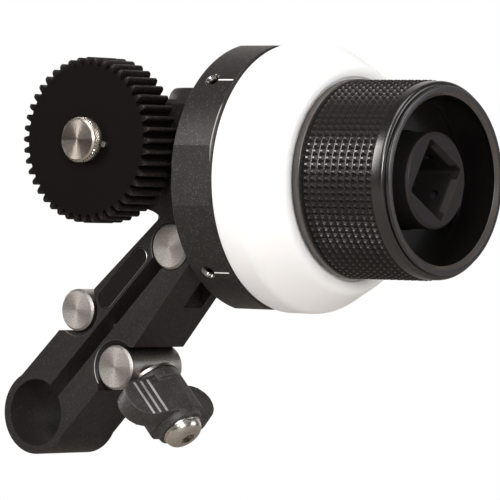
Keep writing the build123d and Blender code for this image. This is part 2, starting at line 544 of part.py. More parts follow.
def make_drive_gear():
    """Focus gear with 0.8 module teeth, their ends lightly chamfered, and a hole for the drive pin."""
    outline = gear_outline(GEAR_TEETH, GEAR_MODULE, 1.0, 1.25, 0.1)
    gear = spindle_axis.location * Pos(0, 0, GEAR_FRONT) * extrude(gear_face(outline), GEAR_WIDTH)
    tip = GEAR_MODULE * (GEAR_TEETH + 2) / 2
    low, ease = tip - TOOTH_CHAMFER, TOOTH_CHAMFER + 0.1
    blank = turned(spindle_axis, [(GEAR_FRONT, 0), (GEAR_FRONT, low), (GEAR_FRONT + ease, tip + 0.1),
                                  (GEAR_BACK - ease, tip + 0.1), (GEAR_BACK, low), (GEAR_BACK, 0)])
    gear = gear & blank
    gear -= bar(spindle_axis, GEAR_FRONT - 1, GEAR_BACK + 1, SPINDLE_BOSS / 2 + FIT)
    return gear - bar(spindle_axis, GEAR_FRONT - 1, GEAR_BACK + 1, PIN_DRIVE / 2 + FIT, DRIVE_PIN_AT)


def make_drive_pin():
    return bar(spindle_axis, GEAR_FRONT - 0.8, FRONT - 0.35, PIN_DRIVE / 2, DRIVE_PIN_AT)


def make_gear_washer():
    washer = bar(spindle_axis, GEAR_FRONT - WASHER_THICK, GEAR_FRONT, THUMB / 2 - 0.15)
    return washer - bar(spindle_axis, GEAR_FRONT - 1, GEAR_FRONT + 1, THUMB_THREAD / 2 + RUN)


def make_thumb_screw():
    """Knurled head with a hollow turned face, and a threaded shank into the spindle."""
    back = GEAR_FRONT - WASHER_THICK
    front = back - THUMB_HEIGHT
    radius = THUMB / 2
    return turned(spindle_axis, [(front + 0.5, 0), (front, radius - 0.6), (front, radius - 0.35),
                                 (front + 0.35, radius), (back - 0.35, radius), (back, radius - 0.35),
                                 (back, THUMB_THREAD / 2), (THUMB_TIP, THUMB_THREAD / 2), (THUMB_TIP, 0)])


def make_retaining_clip():
    clip = bar(spindle_axis, CLIP_Y[0] + 0.05, CLIP_Y[1] - 0.05, 4.2)
    clip -= bar(spindle_axis, CLIP_Y[0] - 1, CLIP_Y[1] + 1, SPINDLE / 2 - 0.5 + FIT)
    mouth = spindle_axis.location * Pos(4, 0, CLIP_Y[0]) * Box(8, 2.6, 4)
    return clip - mouth


# ---------------------------------------------------------------- layshaft and bevel gears
def make_layshaft():
    return bar(layshaft_axis, FRONT + 0.5, BEVEL_INNER_Y - 0.2, LAYSHAFT / 2)


def make_bevel(axis, outer, inner, hub_end, hub_radius, bore, turn):
    """Mitre gear: the tooth outline at its outer end, shrunk towards the apex at its inner end."""
    outline = gear_outline(BEVEL_TEETH, TRAIN_MODULE, 0.7, 1.2, BEVEL_PLAY)
    pitch = BEVEL_TEETH * TRAIN_MODULE / 2
    teeth = Solid.make_loft([gear_face(outline).outer_wire(),
                             gear_face(outline, abs(inner - BEVEL_APEX[axis]) / pitch,
                                       abs(outer - inner)).outer_wire()], ruled=True)
    # the loft grows away from the hub, towards the apex
    flip = Rot(0, 0, 0) if inner > outer else Rot(180, 0, 0)
    base = BEVEL_AXES[axis]
    gear = base.location * Pos(0, 0, outer) * flip * Rot(0, 0, turn) * teeth
    gear += bar(base, min(outer, hub_end), max(outer, hub_end), hub_radius)
    return gear - bar(base, min(inner, hub_end) - 1, max(inner, outer, hub_end) + 1, bore)


# ---------------------------------------------------------------- handwheel
def make_handwheel_shaft():
    """Stepped shaft: bevel gear at the left, thick journal for the marking disc at the right."""
    thin, thick, journal = BEVEL_SHAFT / 2, WHEEL_SHAFT / 2, DISC_JOURNAL / 2
    profile = [(SPINDLE_X + 2.6, 0), (SPINDLE_X + 2.6, thin), (SHAFT_STEP_X, thin), (SHAFT_STEP_X, thick)]
    profile += groove(CIRCLIP_X, thick, 0.5)
    profile += [(HOUSING_FRONT + 1.0, thick), (HOUSING_FRONT + 1.0, journal)]
    for x in FRICTION_RING_X:
        profile += groove((x - 0.55, x + 0.55), journal, 1.0)
    shoulder = HUB_FLANGE_X[0]
    profile += [(shoulder, journal), (shoulder, thick), (HUB_FLOOR_X, thick), (HUB_FLOOR_X, 0)]
    shaft = turned(wheel_axis, profile)
    return shaft - bar(wheel_axis, HUB_FLOOR_X - 11, HUB_FLOOR_X + 1, HUB_THREAD / 2 + FIT)


def groove(span, radius, depth):
    """Profile points of a groove cut into a shaft."""
    return [(span[0], radius), (span[0], radius - depth), (span[1], radius - depth), (span[1], radius)]


def make_circlip():
    ring = bar(wheel_axis, CIRCLIP_X[0] + 0.05, CIRCLIP_X[1] - 0.05, 5.6)
    ring -= bar(wheel_axis, CIRCLIP_X[0] - 1, CIRCLIP_X[1] + 1, WHEEL_SHAFT / 2 - 0.5 + FIT)
    mouth = wheel_axis.location * Pos(-4, 0, CIRCLIP_X[0]) * Box(8, 3.0, 4)
    return ring - mouth


def make_friction_rings():
    """Rubber rings in the journal's grooves, under the marking disc."""
    rings = []
    for x in FRICTION_RING_X:
        ring = Solid.make_torus(DISC_JOURNAL / 2 - 0.5 + RUN / 2, 0.5, wheel_axis)
        rings.append(Pos(x, 0, 0) * ring)
    return rings


def make_marking_disc():
    """White disc: a rim that reads against the index lines and a cone towards the handwheel."""
    radius = RING / 2
    tip = radius - DISC_SLOPE * (DISC_FRONT - 0.6 - DISC_EDGE)
    bore = DISC_JOURNAL / 2 + RUN
    disc = turned(wheel_axis, [(DISC_BACK, bore), (DISC_BACK, 11.5), (DISC_WEB_X, 11.5), (DISC_WEB_X, 20.0),
                               (DISC_BACK + 5, 26.5), (DISC_BACK, 26.5), (DISC_BACK, radius - 0.25),
                               (DISC_BACK + 0.25, radius), (DISC_EDGE, radius), (DISC_FRONT - 0.6, tip),
                               (DISC_FRONT, tip - 0.9), (DISC_FRONT, DISC_RECESS / 2),
                               (WHEEL_BACK - 0.3, DISC_RECESS / 2), (WHEEL_BACK - 0.3, bore)])
    return disc


def make_handwheel_shell():
    """Grip: a rear flange, a knurled barrel, and a rounded rim round a deep recess for the hub."""
    flange, barrel, recess = KNURL / 2 + 0.1, KNURL / 2, RECESS / 2
    step_x, step_radius = RECESS_FLOOR_X + RECESS_STEP[0], recess - RECESS_STEP[1]
    lip = [(KNURL_FRONT, barrel - 0.3), (WHEEL_FRONT - 1.3, barrel - 0.3), (WHEEL_FRONT - 0.6, barrel - 0.6),
           (WHEEL_FRONT - 0.15, barrel - 1.1), (WHEEL_FRONT, barrel - 1.35), (WHEEL_FRONT, recess + 0.3)]
    shell = turned(wheel_axis, [(WHEEL_BACK, HUB_FLANGE / 2 + FIT), (WHEEL_BACK, flange),
                                (KNURL_BACK - 0.4, flange), (KNURL_BACK - 0.4, barrel - 0.5),
                                (KNURL_BACK, barrel - 0.5), (KNURL_BACK, barrel - 0.2),
                                (KNURL_FRONT, barrel - 0.2)] + lip
                   + [(WHEEL_FRONT - 0.2, recess), (step_x, recess), (step_x, step_radius),
                      (RECESS_FLOOR_X, step_radius), (RECESS_FLOOR_X, HUB / 2 + FIT),
                      (HUB_FLANGE_X[1], HUB / 2 + FIT), (HUB_FLANGE_X[1], HUB_FLANGE / 2 + FIT)])
    for across in hub_screw_places():
        shell -= bar(wheel_axis, HUB_FLANGE_X[1] - 1, RECESS_FLOOR_X - 0.6, HUB_SCREW / 2 + FIT, across)
    return shell


def hub_screw_places():
    return [polar(HUB_SCREW_CIRCLE, angle) for angle in HUB_SCREW_ANGLES]


def make_handwheel_hub():
    """Hub with a square socket for a crank; its rear flange is screwed to the web from behind."""
    radius, (back, face) = HUB / 2, HUB_FLANGE_X
    hub = turned(wheel_axis, [(back, 0), (back, HUB_FLANGE / 2), (face, HUB_FLANGE / 2), (face, radius),
                              (HUB_FRONT - 0.6, radius), (HUB_FRONT, radius - 0.6), (HUB_FRONT, 0)])
    floor = HUB_FRONT - SOCKET_DEPTH
    lead_in = HUB_FRONT - SOCKET_LEAD_IN
    turn = wheel_axis.location * Rot(0, 0, SOCKET_TURN)
    hub -= turn * Pos(0, 0, floor) * extrude(RectangleRounded(SOCKET, SOCKET, 0.7), SOCKET_DEPTH)
    # the mouth widens in its last few millimetres
    narrow = Pos(0, 0, lead_in) * RectangleRounded(SOCKET, SOCKET, 0.7)
    wide = Pos(0, 0, HUB_FRONT) * RectangleRounded(SOCKET_MOUTH, SOCKET_MOUTH, 0.7)
    hub -= turn * loft([narrow.face(), wide.face()], ruled=True)
    # a ball detent's dimple in the middle of each wall
    for quarter in range(4):
        side = wheel_axis.location * Rot(0, 0, SOCKET_TURN + 90 * quarter)
        hub -= side * Pos(SOCKET / 2 + 0.3, 0, HUB_FRONT - 5.0) * Sphere(1.3)
    hub -= bar(wheel_axis, back - 1, HUB_FLOOR_X, WHEEL_SHAFT / 2 + FIT)
    hub -= bar(wheel_axis, back - 1, floor + 1, HUB_THREAD / 2 + 0.2)
    for across in hub_screw_places():
        hub -= bar(wheel_axis, back - 1, HUB_SCREW_SEAT_X, 2.4, across)
        hub -= bar(wheel_axis, back - 1, face + 1, HUB_SCREW / 2 + 0.15, across)
    return hub


def make_hub_screws():
    return [socket_screw(wheel_axis, across, HUB_SCREW_SEAT_X, RECESS_FLOOR_X - 0.8, HUB_SCREW, 4.5, 2.5, 2.0)
            for across in hub_screw_places()]


def make_hub_centre_screw():
    floor = HUB_FRONT - SOCKET_DEPTH
    return socket_screw(wheel_axis, (0, 0), floor, HUB_FLOOR_X - 9, HUB_THREAD, 7.0, 2.6, 3.0)


# ---------------------------------------------------------------- the pieces
save("clamp_arm", make_clamp_arm())
save("clamp_barrel_nut", make_barrel_nut())
save("clamp_barrel_sleeve", make_barrel_sleeve())
save("slot_end_plug", make_barrel(PLUG_AT, PIN, PLUG_LENGTH + PIN_PROUD))
save("arm_fixing_screw", socket_screw(fixing_axis, (0, 0), POCKET_TOP_Z, FIXING_END_Z, FIXING_THREAD,
                                      5.5, 3.0, 2.5))
save("arm_dowels", *[bar(Plane.XY, BOX_FLOOR_Z - DOWEL_DEPTH + 0.2, BOX_FLOOR_Z + DOWEL_DEPTH - 0.2,
                         DOWEL / 2, dowel) for dowel in DOWELS])

save("clamp_collar", make_clamp_collar())
save("clamp_screw", make_clamp_screw())
save("wing_knob", make_wing_knob())
save("knob_stripes", *make_knob_stripes())

save("gearbox_body", make_gearbox_body())
save("gearbox_rear_cover", make_rear_cover())
save("cover_screws", *make_cover_screws())
save("bearing_plate", make_bearing_plate())
save("top_plug", make_top_plug())
save("drag_spring", make_drag_spring())
save("drag_pad", make_drag_pad())
save("bearing_housing", make_bearing_housing())
save("housing_screws", *make_housing_screws())
save("index_ring", make_index_ring())
save("index_screws", *make_index_screws())
save("index_lines", *make_index_lines())
save("handwheel_bushes", *make_wheel_bushes())
save("spindle_bushes", *make_train_bushes(spindle_axis, SPINDLE_BUSH, SPINDLE))
save("layshaft_bushes", *make_train_bushes(layshaft_axis, LAYSHAFT_BUSH, LAYSHAFT))

save("gear_spindle", make_gear_spindle())
save("spindle_spur_gear", make_spur(spindle_axis, SPINDLE))
save("spindle_clip", make_retaining_clip())
save("drive_gear", make_drive_gear())
save("drive_pin", make_drive_pin())
save("gear_washer", make_gear_washer())
save("gear_thumb_screw", make_thumb_screw())

save("layshaft", make_layshaft())
save("layshaft_spur_gear", make_spur(layshaft_axis, LAYSHAFT))
save("bevel_pinion", make_bevel("layshaft", WHEEL_Y - BEVEL_PITCH, BEVEL_INNER_Y, 3.9, 3.3,
                                LAYSHAFT / 2 + FIT, 180 / BEVEL_TEETH))
save("bevel_gear", make_bevel("wheel", SPINDLE_X + BEVEL_PITCH, SPINDLE_X + BEVEL_INNER, 30.4, 4.0,
                              BEVEL_SHAFT / 2 + FIT, 0))

save("handwheel_shaft", make_handwheel_shaft())
save("shaft_circlip", make_circlip())
save("handwheel_shell", make_handwheel_shell())
save("handwheel_hub", make_handwheel_hub())
save("hub_screws", *make_hub_screws())
save("hub_centre_screw", make_hub_centre_screw())
save("friction_rings", *make_friction_rings())
save("marking_disc", make_marking_disc())
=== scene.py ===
import math

import bmesh
import bpy
import numpy as np
from mathutils import Matrix, Vector


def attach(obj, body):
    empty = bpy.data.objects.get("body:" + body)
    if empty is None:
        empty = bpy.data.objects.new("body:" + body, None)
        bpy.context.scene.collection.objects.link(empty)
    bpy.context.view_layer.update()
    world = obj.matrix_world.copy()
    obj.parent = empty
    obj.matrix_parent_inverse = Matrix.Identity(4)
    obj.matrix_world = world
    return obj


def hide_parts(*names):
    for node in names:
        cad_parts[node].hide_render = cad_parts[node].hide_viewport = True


# Follow focus unit.  Shapes are worked out in millimetres and put into metres as each mesh is made.
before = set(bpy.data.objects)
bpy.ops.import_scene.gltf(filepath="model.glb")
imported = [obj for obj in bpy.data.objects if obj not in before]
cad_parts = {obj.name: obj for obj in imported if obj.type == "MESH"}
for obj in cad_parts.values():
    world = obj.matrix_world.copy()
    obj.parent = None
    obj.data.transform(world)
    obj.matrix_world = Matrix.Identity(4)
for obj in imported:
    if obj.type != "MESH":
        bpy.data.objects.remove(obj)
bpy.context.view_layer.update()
MM = 0.001

# ---------------------------------------------------------------- places and sizes, in millimetres
WHEEL_Y, WHEEL_Z = 12.5, 54.0
WHEEL_CENTRE, SPINDLE_CENTRE = (0, WHEEL_Y, WHEEL_Z), (22.7, 0, 61.5)
ACROSS_X, ACROSS_Y = (0, 1, 1), (1, 0, 1)           # 1 in the two directions across that axis
NUT_AT, SLEEVE_AT, PLUG_AT = (11.8, 0, 23.5), (23.3, 0, 10.95), (38.4, 0, 38.2)
ARM_FACE, BARREL_FACE = -8.75, -9.1                 # Y of the front of the arm and of the barrels in it
LABEL_ENDS, LABEL_RADIUS = ((20.01, 26.09), (29.70, 35.78)), 2.0    # X, Z of the plate's round ends
LABEL_BACK, LABEL_EDGE, LABEL_FRONT, LABEL_CHAMFER = 8.44, 8.6, 8.7, 0.1    # heights of the plate, towards -Y
SCREW_DIRECTION, SCREW_TIP, SCREW_RADIUS = (0.67557, 0.0, -0.73731), -20.2, 2.5
BUTTON_RADIUS, BUTTON_RIM, BUTTON_HEIGHT = 4.6, 0.6, 2.95
KNOB_TURN, KNOB_BACK, KNOB_FRONT = 12.5, 4.92, 18.02        # degrees; distances along the clamp screw
GEAR_FRONT, GEAR_WIDTH, GEAR_BORE, GEAR_TEETH, GEAR_MODULE = -19.95, 10.0, 4.02, 44, 0.8
PRESSURE_ANGLE, TOOTH_PLAY = 20, 0.1
THUMB_BACK = GEAR_FRONT - 0.4
THUMB_FRONT = THUMB_BACK - 2.6
RING_BACK, RING_FRONT, RING_RADIUS, RING_FLAT = 45.0, 56.4, 30.0, 29.25
RING_EDGE = 55.85                                   # X of the middle of the painted highlight on the ring's front edge
GRUB_X, GRUB_ANGLES = 49.5, (45, 135, 225, 315)
KNURL_BACK, KNURL_FRONT, KNURL_ROWS, KNURL_PITCH = 75.05, 94.5, 92, 1.904
KNURL_BASE, KNURL_HEIGHT = 21.3, 0.65
FLANGE_FRONT, MOUTH_BEVEL, GRIP_FRONT, RECESS_RADIUS = 74.85, 97.6, 98.5, 19.27
HUB_FRONT, HUB_BARREL = 95.8, 10.3                  # X of the hub's rim, and where its barrel's colour starts
SOCKET_TURN, RELIEF_AT, RELIEF_RADIUS = 59.6, 8.0, 1.6      # the square's first flat; its corner reliefs
BACKDROP = (-0.6225, 0.7826, 0.0)                   # direction of the middle of the bright backdrop


def axis(origin, along, zero):
    """Origin and three directions as rows: where angle 0 points, where angle 90 points, and the axis."""
    along, zero = np.array(along, float), np.array(zero, float)
    along /= np.linalg.norm(along)
    return np.array(origin, float), np.array([zero, np.cross(along, zero), along])


WHEEL = axis(WHEEL_CENTRE, (1, 0, 0), (0, 1, 0))
SPINDLE = axis(SPINDLE_CENTRE, (0, 1, 0), (1, 0, 0))
SCREW = axis(SLEEVE_AT, SCREW_DIRECTION, (0, 1, 0))
TOP_CAP = axis((33.6, 12.5, 0), (0, 0, 1), (1, 0, 0))


# ---------------------------------------------------------------- making meshes
def placed(name, data):
    """Object of a mesh, light or camera, in the scene, at the origin."""
    obj = bpy.data.objects.new(name, data)
    bpy.context.scene.collection.objects.link(obj)
    return obj


def shade(obj, sharp):
    """Shades a piece smoothly, except across edges sharper than an angle."""
    obj.data.shade_smooth()
    obj.data.set_sharp_from_angle(angle=math.radians(sharp))


def piece(name, points, faces, sharp=40):
    """Mesh object from points in millimetres, closed where points meet, its faces turned outwards."""
    mesh = bpy.data.meshes.new(name)
    mesh.from_pydata((np.asarray(points) * MM).tolist(), [], faces)
    work = bmesh.new()
    work.from_mesh(mesh)
    bmesh.ops.remove_doubles(work, verts=work.verts, dist=1e-6)
    bmesh.ops.recalc_face_normals(work, faces=work.faces)
    work.to_mesh(mesh)
    work.free()
    obj = placed(name, mesh)
    shade(obj, sharp)
    return obj


def grid_faces(rows, columns, ring_rows=False):
    """Quads of a grid of points that closes round its columns, and round its rows too for a hollow ring."""
    row = np.arange(rows if ring_rows else rows - 1)[:, None]
    column = np.arange(columns)[None, :]
    after, beside = (row + 1) % rows, (column + 1) % columns
    quads = np.stack([row * columns + column, row * columns + beside,
                      after * columns + beside, after * columns + column], axis=-1)
    return quads.reshape(-1, 4).tolist()


def rounded(corners, closed):
    """Profile with eased corners: corners are (along, radius, cut), and a corner with a cut becomes the
    quadratic curve between two points that distance before and after it.  A long straight side gets a
    point near each end, so that the shading stays level along it."""
    corners = [tuple(c) + (0.0,) * (3 - len(c)) for c in corners]
    count, path = len(corners), []
    t = np.linspace(0, 1, 6)[:, None]
    for i, (along, radius, cut_back) in enumerate(corners):
        here = np.array((along, radius))
        sides = []
        for step in (-1, 1):
            if closed or 0 <= i + step < count:
                other = np.array(corners[(i + step) % count][:2]) - here
                length = np.linalg.norm(other)
                sides.append((other / length, length))
        if cut_back == 0 or len(sides) < 2:
            path.append(here)
            continue
        (before, length_before), (after, length_after) = sides
        if length_before > 3 * cut_back + 0.3:
            path.append(here + before * (cut_back + 0.12))
        first, last = here + before * cut_back, here + after * cut_back
        path.extend((1 - t) ** 2 * first + 2 * t * (1 - t) * here + t ** 2 * last)
        if length_after > 3 * cut_back + 0.3:
            path.append(here + after * (cut_back + 0.12))
    return np.array(path)


def turned(name, place, corners, columns=192, closed=False, law=None, angles=None, sharp=40):
    """Surface of revolution of an eased profile; law(radius, angle) may change the radius with the angle."""
    path = rounded(corners, closed)
    turn = np.linspace(0, 2 * np.pi, columns, endpoint=False) if angles is None else angles
    along, radius = path[:, :1], np.repeat(path[:, 1:], len(turn), axis=1)
    if law is not None:
        radius = law(radius, turn[None, :])
    local = np.stack([radius * np.cos(turn), radius * np.sin(turn), along + 0 * radius], axis=-1)
    origin, rows = place
    points = origin + local.reshape(-1, 3) @ rows
    return piece(name, points, grid_faces(len(path), len(turn), closed), sharp)


def pyramids(name, place, along, rows, pitch, base, height, top, inset, diamond=False):
    """Knurling: blunt pyramids on a drum, rows round it and pitch along it, counted back from the front; the
    last ones may be cut short.  In a square grid their corners are at the corners of their cells, less a gap
    between columns; diamonds have them at the middles of the cells' sides, and a second set stands in the
    gaps of the first."""
    columns = math.ceil((along[1] - along[0]) / pitch - 0.01)
    corner = np.array([(-1, -1), (1, -1), (1, 1), (-1, 1)], float)
    if diamond:
        corner = np.array([(0, -1), (1, 0), (0, 1), (-1, 0)], float)
    spread = np.concatenate([corner * (1, 1 - inset), corner * top]) * 0.5
    lift = np.repeat([0.0, height], 4)
    at_row, at_column = (grid.reshape(-1, 1) for grid in
                         np.meshgrid(np.arange(rows), np.arange(columns) + 0.5, indexing="ij"))
    if diamond:
        at_row, at_column = (np.concatenate([grid, grid + 0.5]) for grid in (at_row, at_column))
    turn = (at_row + spread[:, 0]) * 2 * np.pi / rows
    run = np.clip(along[1] - (at_column - spread[:, 1]) * pitch, *along)
    out = base + lift + 0 * turn
    local = np.stack([out * np.cos(turn), out * np.sin(turn), run], axis=-1).reshape(-1, 3)
    shape = np.array([(0, 1, 5, 4), (1, 2, 6, 5), (2, 3, 7, 6), (3, 0, 4, 7), (4, 5, 6, 7), (3, 2, 1, 0)])
    faces = (np.arange(len(at_row))[:, None, None] * 8 + shape).reshape(-1, 4)
    origin, axes = place
    return piece(name, origin + local @ axes, faces.tolist(), 20)


def copied(name, node, bevel, angle=30):
    """Copy of a CAD node: its loose triangles are merged, flat areas become single faces, and edges sharper
    than an angle are eased by a bevel of the given width."""
    obj = placed(name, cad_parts[node].data.copy())
    work = bmesh.new()
    work.from_mesh(obj.data)
    bmesh.ops.remove_doubles(work, verts=work.verts, dist=2e-6)
    bmesh.ops.dissolve_limit(work, angle_limit=math.radians(0.5), verts=work.verts, edges=work.edges)
    work.to_mesh(obj.data)
    work.free()
    shade(obj, 35)
    ease = obj.modifiers.new("eased edges", "BEVEL")
    ease.width, ease.segments = bevel * MM, 3
    ease.limit_method, ease.angle_limit = "ANGLE", math.radians(angle)
    ease.harden_normals = True
    ease.miter_outer = "MITER_ARC"
    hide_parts(node)
    return obj


def joined(target, *others):
    """Adds the meshes of other pieces to the first and removes them."""
    work = bmesh.new()
    work.from_mesh(target.data)
    for other in others:
        work.from_mesh(other.data)
        bpy.data.objects.remove(other)
    work.to_mesh(target.data)
    work.free()
    return target


def applied(obj):
    """Puts what a piece's modifiers make of it into its mesh, and clears them."""
    depsgraph = bpy.context.evaluated_depsgraph_get()
    mesh = bpy.data.meshes.new_from_object(obj.evaluated_get(depsgraph))
    obj.modifiers.clear()
    obj.data = mesh


def cut(target, cutters, sharp):
    """Takes the cutters' volume out of the target and removes them."""
    cutter = joined(*cutters)
    step = target.modifiers.new("cut", "BOOLEAN")
    step.operation, step.solver, step.object, step.use_self = "DIFFERENCE", "EXACT", cutter, True
    applied(target)
    bpy.data.objects.remove(cutter)
    shade(target, sharp)


def prism(name, place, outline, start, end):
    """Straight prism: an outline across the axis, between two distances along it."""
    outline = np.asarray(outline, float)
    count = len(outline)
    local = np.concatenate([np.column_stack([outline, np.full(count, end_at)]) for end_at in (start, end)])
    faces = grid_faces(2, count) + [list(range(count)), list(range(count, 2 * count))]
    return piece(name, place[0] + local @ place[1], faces)


def spoke(angle):
    """Axis of one grub screw: it points out from the handwheel's axis, at an angle from +Y towards +Z."""
    turn = math.radians(angle)
    return axis((GRUB_X, WHEEL_Y, WHEEL_Z), (0, math.cos(turn), math.sin(turn)), (1, 0, 0))


# ---------------------------------------------------------------- materials
class Nodes:
    """Short names for the nodes of one material, and the steps that its finishes share."""

    def __init__(self, name):
        self.material = bpy.data.materials.new(name)
        self.material.use_nodes = True
        self.tree = self.material.node_tree
        self.shader = self.tree.nodes["Principled BSDF"]
        self.place = self.add("ShaderNodeTexCoord").outputs["Object"]

    def add(self, kind, **settings):
        """New node; each setting is one of its properties or the value of one of its inputs."""
        node = self.tree.nodes.new(kind)
        for key, value in settings.items():
            if hasattr(node, key):
                setattr(node, key, value)
            else:
                node.inputs[key.replace("_", " ")].default_value = value
        return node

    def link(self, source, target):
        self.tree.links.new(source, target)

    def noise(self, scale, detail=3.0, place=None, rough=0.5):
        """Noise from 0 to 1 on the object's own coordinates, with scale waves to the metre."""
        node = self.add("ShaderNodeTexNoise", Scale=scale, Detail=detail, Roughness=rough)
        self.link(self.place if place is None else place, node.inputs["Vector"])
        return node.outputs["Fac"]

    def mapped(self, scale):
        """The object's own coordinates, stretched along each axis."""
        node = self.add("ShaderNodeMapping", Scale=scale)
        self.link(self.place, node.inputs["Vector"])
        return node.outputs["Vector"]

    def axis(self, letter):
        """Distance along one of the object's own axes."""
        node = self.add("ShaderNodeSeparateXYZ")
        self.link(self.place, node.inputs[0])
        return node.outputs[letter]

    def maths(self, operation, *values):
        """One step of arithmetic; each value is a socket or a number."""
        node = self.add("ShaderNodeMath", operation=operation)
        for socket, value in zip(node.inputs, values):
            if isinstance(value, (int, float)):
                socket.default_value = value
            else:
                self.link(value, socket)
        return node.outputs[0]

    def vectors(self, operation, first, second=None):
        """One step on a vector socket, with a fixed vector as the second where it takes one."""
        node = self.add("ShaderNodeVectorMath", operation=operation)
        self.link(first, node.inputs[0])
        if second is not None:
            node.inputs[1].default_value = second
        return node

    def ramp(self, source, low, high, dark, light):
        """Numbers from low to high become values from dark to light."""
        node = self.add("ShaderNodeMapRange")
        for key, value in (("From Min", low), ("From Max", high), ("To Min", dark), ("To Max", light)):
            node.inputs[key].default_value = value
        self.link(source, node.inputs["Value"])
        return node.outputs["Result"]

    def along(self, letter, low, high, before, after):
        """Value that goes from before to after between two places on an axis, in millimetres."""
        return self.ramp(self.axis(letter), low * MM, high * MM, before, after)

    def band(self, source, middle, inner, outer, most=1.0):
        """Most within inner of a distance, and nothing beyond outer, in millimetres."""
        off = self.maths("ABSOLUTE", self.maths("SUBTRACT", source, middle * MM))
        return self.ramp(off, inner * MM, outer * MM, most, 0)

    def from_centre(self, centre, across):
        """Direction and distance from a centre, in the plane where across is 1."""
        shift = self.vectors("SUBTRACT", self.place, [c * MM for c in centre])
        flat = self.vectors("MULTIPLY", shift.outputs[0], across).outputs[0]
        return self.vectors("NORMALIZE", flat).outputs[0], self.vectors("LENGTH", flat).outputs["Value"]

    def towards(self, way, direction):
        """Cosine between a direction and a fixed one."""
        return self.vectors("DOT_PRODUCT", way, direction).outputs["Value"]

    def colours(self, source, stops):
        """Colour that follows a value between stops of (value, colour)."""
        node = self.add("ShaderNodeValToRGB")
        while len(node.color_ramp.elements) < len(stops):
            node.color_ramp.elements.new(0.5)
        for element, (at, colour) in zip(node.color_ramp.elements, stops):
            element.position, element.color = at, (*colour, 1)
        self.link(source, node.inputs["Fac"])
        return node.outputs["Color"]

    def uneven(self, scale, dark, light, detail=3, spread=0.15):
        """Colour that wanders between two shades."""
        return self.colours(self.noise(scale, detail), [(0.5 - spread, dark), (0.5 + spread, light)])

    def gloss(self, low, high, scale=900, detail=3):
        """Roughness that wanders between two values."""
        return self.ramp(self.noise(scale, detail), 0.3, 0.7, low, high)

    def blend(self, amount, first, second):
        """The first colour where amount is 0 and the second where it is 1; either may be a socket."""
        node = self.add("ShaderNodeMix", data_type="RGBA")
        self.link(amount, node.inputs[0])
        for index, colour in ((6, first), (7, second)):
            if isinstance(colour, tuple):
                node.inputs[index].default_value = (*colour, 1)
            else:
                self.link(colour, node.inputs[index])
        return node.outputs[2]

    def bump(self, source, strength, distance):
        """Normal of a surface that rises with a value, by a distance in millimetres."""
        node = self.add("ShaderNodeBump", Strength=strength, Distance=distance * MM)
        self.link(source, node.inputs["Height"])
        return node.outputs["Normal"]

    def finish(self, colour, rough, normal=None, **plain):
        """The material, with a colour, a roughness (a socket or a number), a normal and plain values."""
        for key, value in plain.items():
            self.shader.inputs[key.replace("_", " ")].default_value = value
        self.link(colour, self.shader.inputs["Base Color"])
        if isinstance(rough, float):
            self.shader.inputs["Roughness"].default_value = rough
        else:
            self.link(rough, self.shader.inputs["Roughness"])
        if normal:
            self.link(normal, self.shader.inputs["Normal"])
        return self.material


def shifted(colour, amount):
    """Colour with the same amount added to each part."""
    return tuple(c + amount for c in colour)


def scaled(colour, factor):
    """Colour with each part multiplied."""
    return tuple(factor * c for c in colour)


CLAMP_SIDE, FRONT_SIDE = (-0.94, 0, -0.34), (0, -0.946, 0.326)      # where the painted highlights on the seats' rims and the ring's edge are strongest
RIM_WEAR_AND_HIGHLIGHT, EDGE_HIGHLIGHT = (0.42, 0.4, 0.38), (0.34, 0.32, 0.3)          # their colours: worn metal with painted highlight on the rims, painted highlight on the ring's edge


def anodised(name, dye, rough, grain, glint, level, rims=(), edge=None):
    """Blasted and anodised aluminium: slightly uneven dye, a fine satin grain, and painted glints, a lighter
    colour where the highest points of the grain stand out.  Rims are (centre, radius, most) of sharp round
    edges in the front face: a thin band of worn metal at that distance from the centre, painted lighter on
    the clamp's side as a painted highlight.  Edge is the place along the wheel of a round edge that gets a
    painted highlight over a short arc at the front."""
    n = Nodes(name)
    fine = n.noise(4200, 2)
    colour = n.uneven(60, *dye)
    # Painted glints: a lighter colour where the fine noise is highest.
    colour = n.blend(n.ramp(fine, 0.6, 0.72, 0, 1), colour, shifted(dye[1], glint))
    for centre, radius, most in rims:
        way, far = n.from_centre(centre, ACROSS_Y)
        # Worn band round each seat's rim, painted brighter towards the clamp's side: a painted highlight.
        bare_and_glint = n.maths("MULTIPLY", n.band(far, radius, 0.04, 0.1, most),
                       n.along("Y", ARM_FACE + 0.2, ARM_FACE + 0.3, 1, 0))
        bare_and_glint = n.maths("MULTIPLY", bare_and_glint, n.ramp(n.towards(way, CLAMP_SIDE), 0.45, 0.95, 0.1, 1))
        colour = n.blend(bare_and_glint, colour, RIM_WEAR_AND_HIGHLIGHT)
    if edge:
        # Painted highlight: a lighter band on the ring's front edge, over a short arc at the front only.
        way = n.from_centre(WHEEL_CENTRE, ACROSS_X)[0]
        bare_and_glint = n.maths("MULTIPLY", n.band(n.axis("X"), edge, 0.07, 0.13),
                       n.ramp(n.towards(way, FRONT_SIDE), 0.973, 0.985, 0, 1))
        colour = n.blend(bare_and_glint, colour, EDGE_HIGHLIGHT)
    return n.finish(colour, n.gloss(*rough), n.bump(fine, grain, 0.02), Specular_IOR_Level=level)


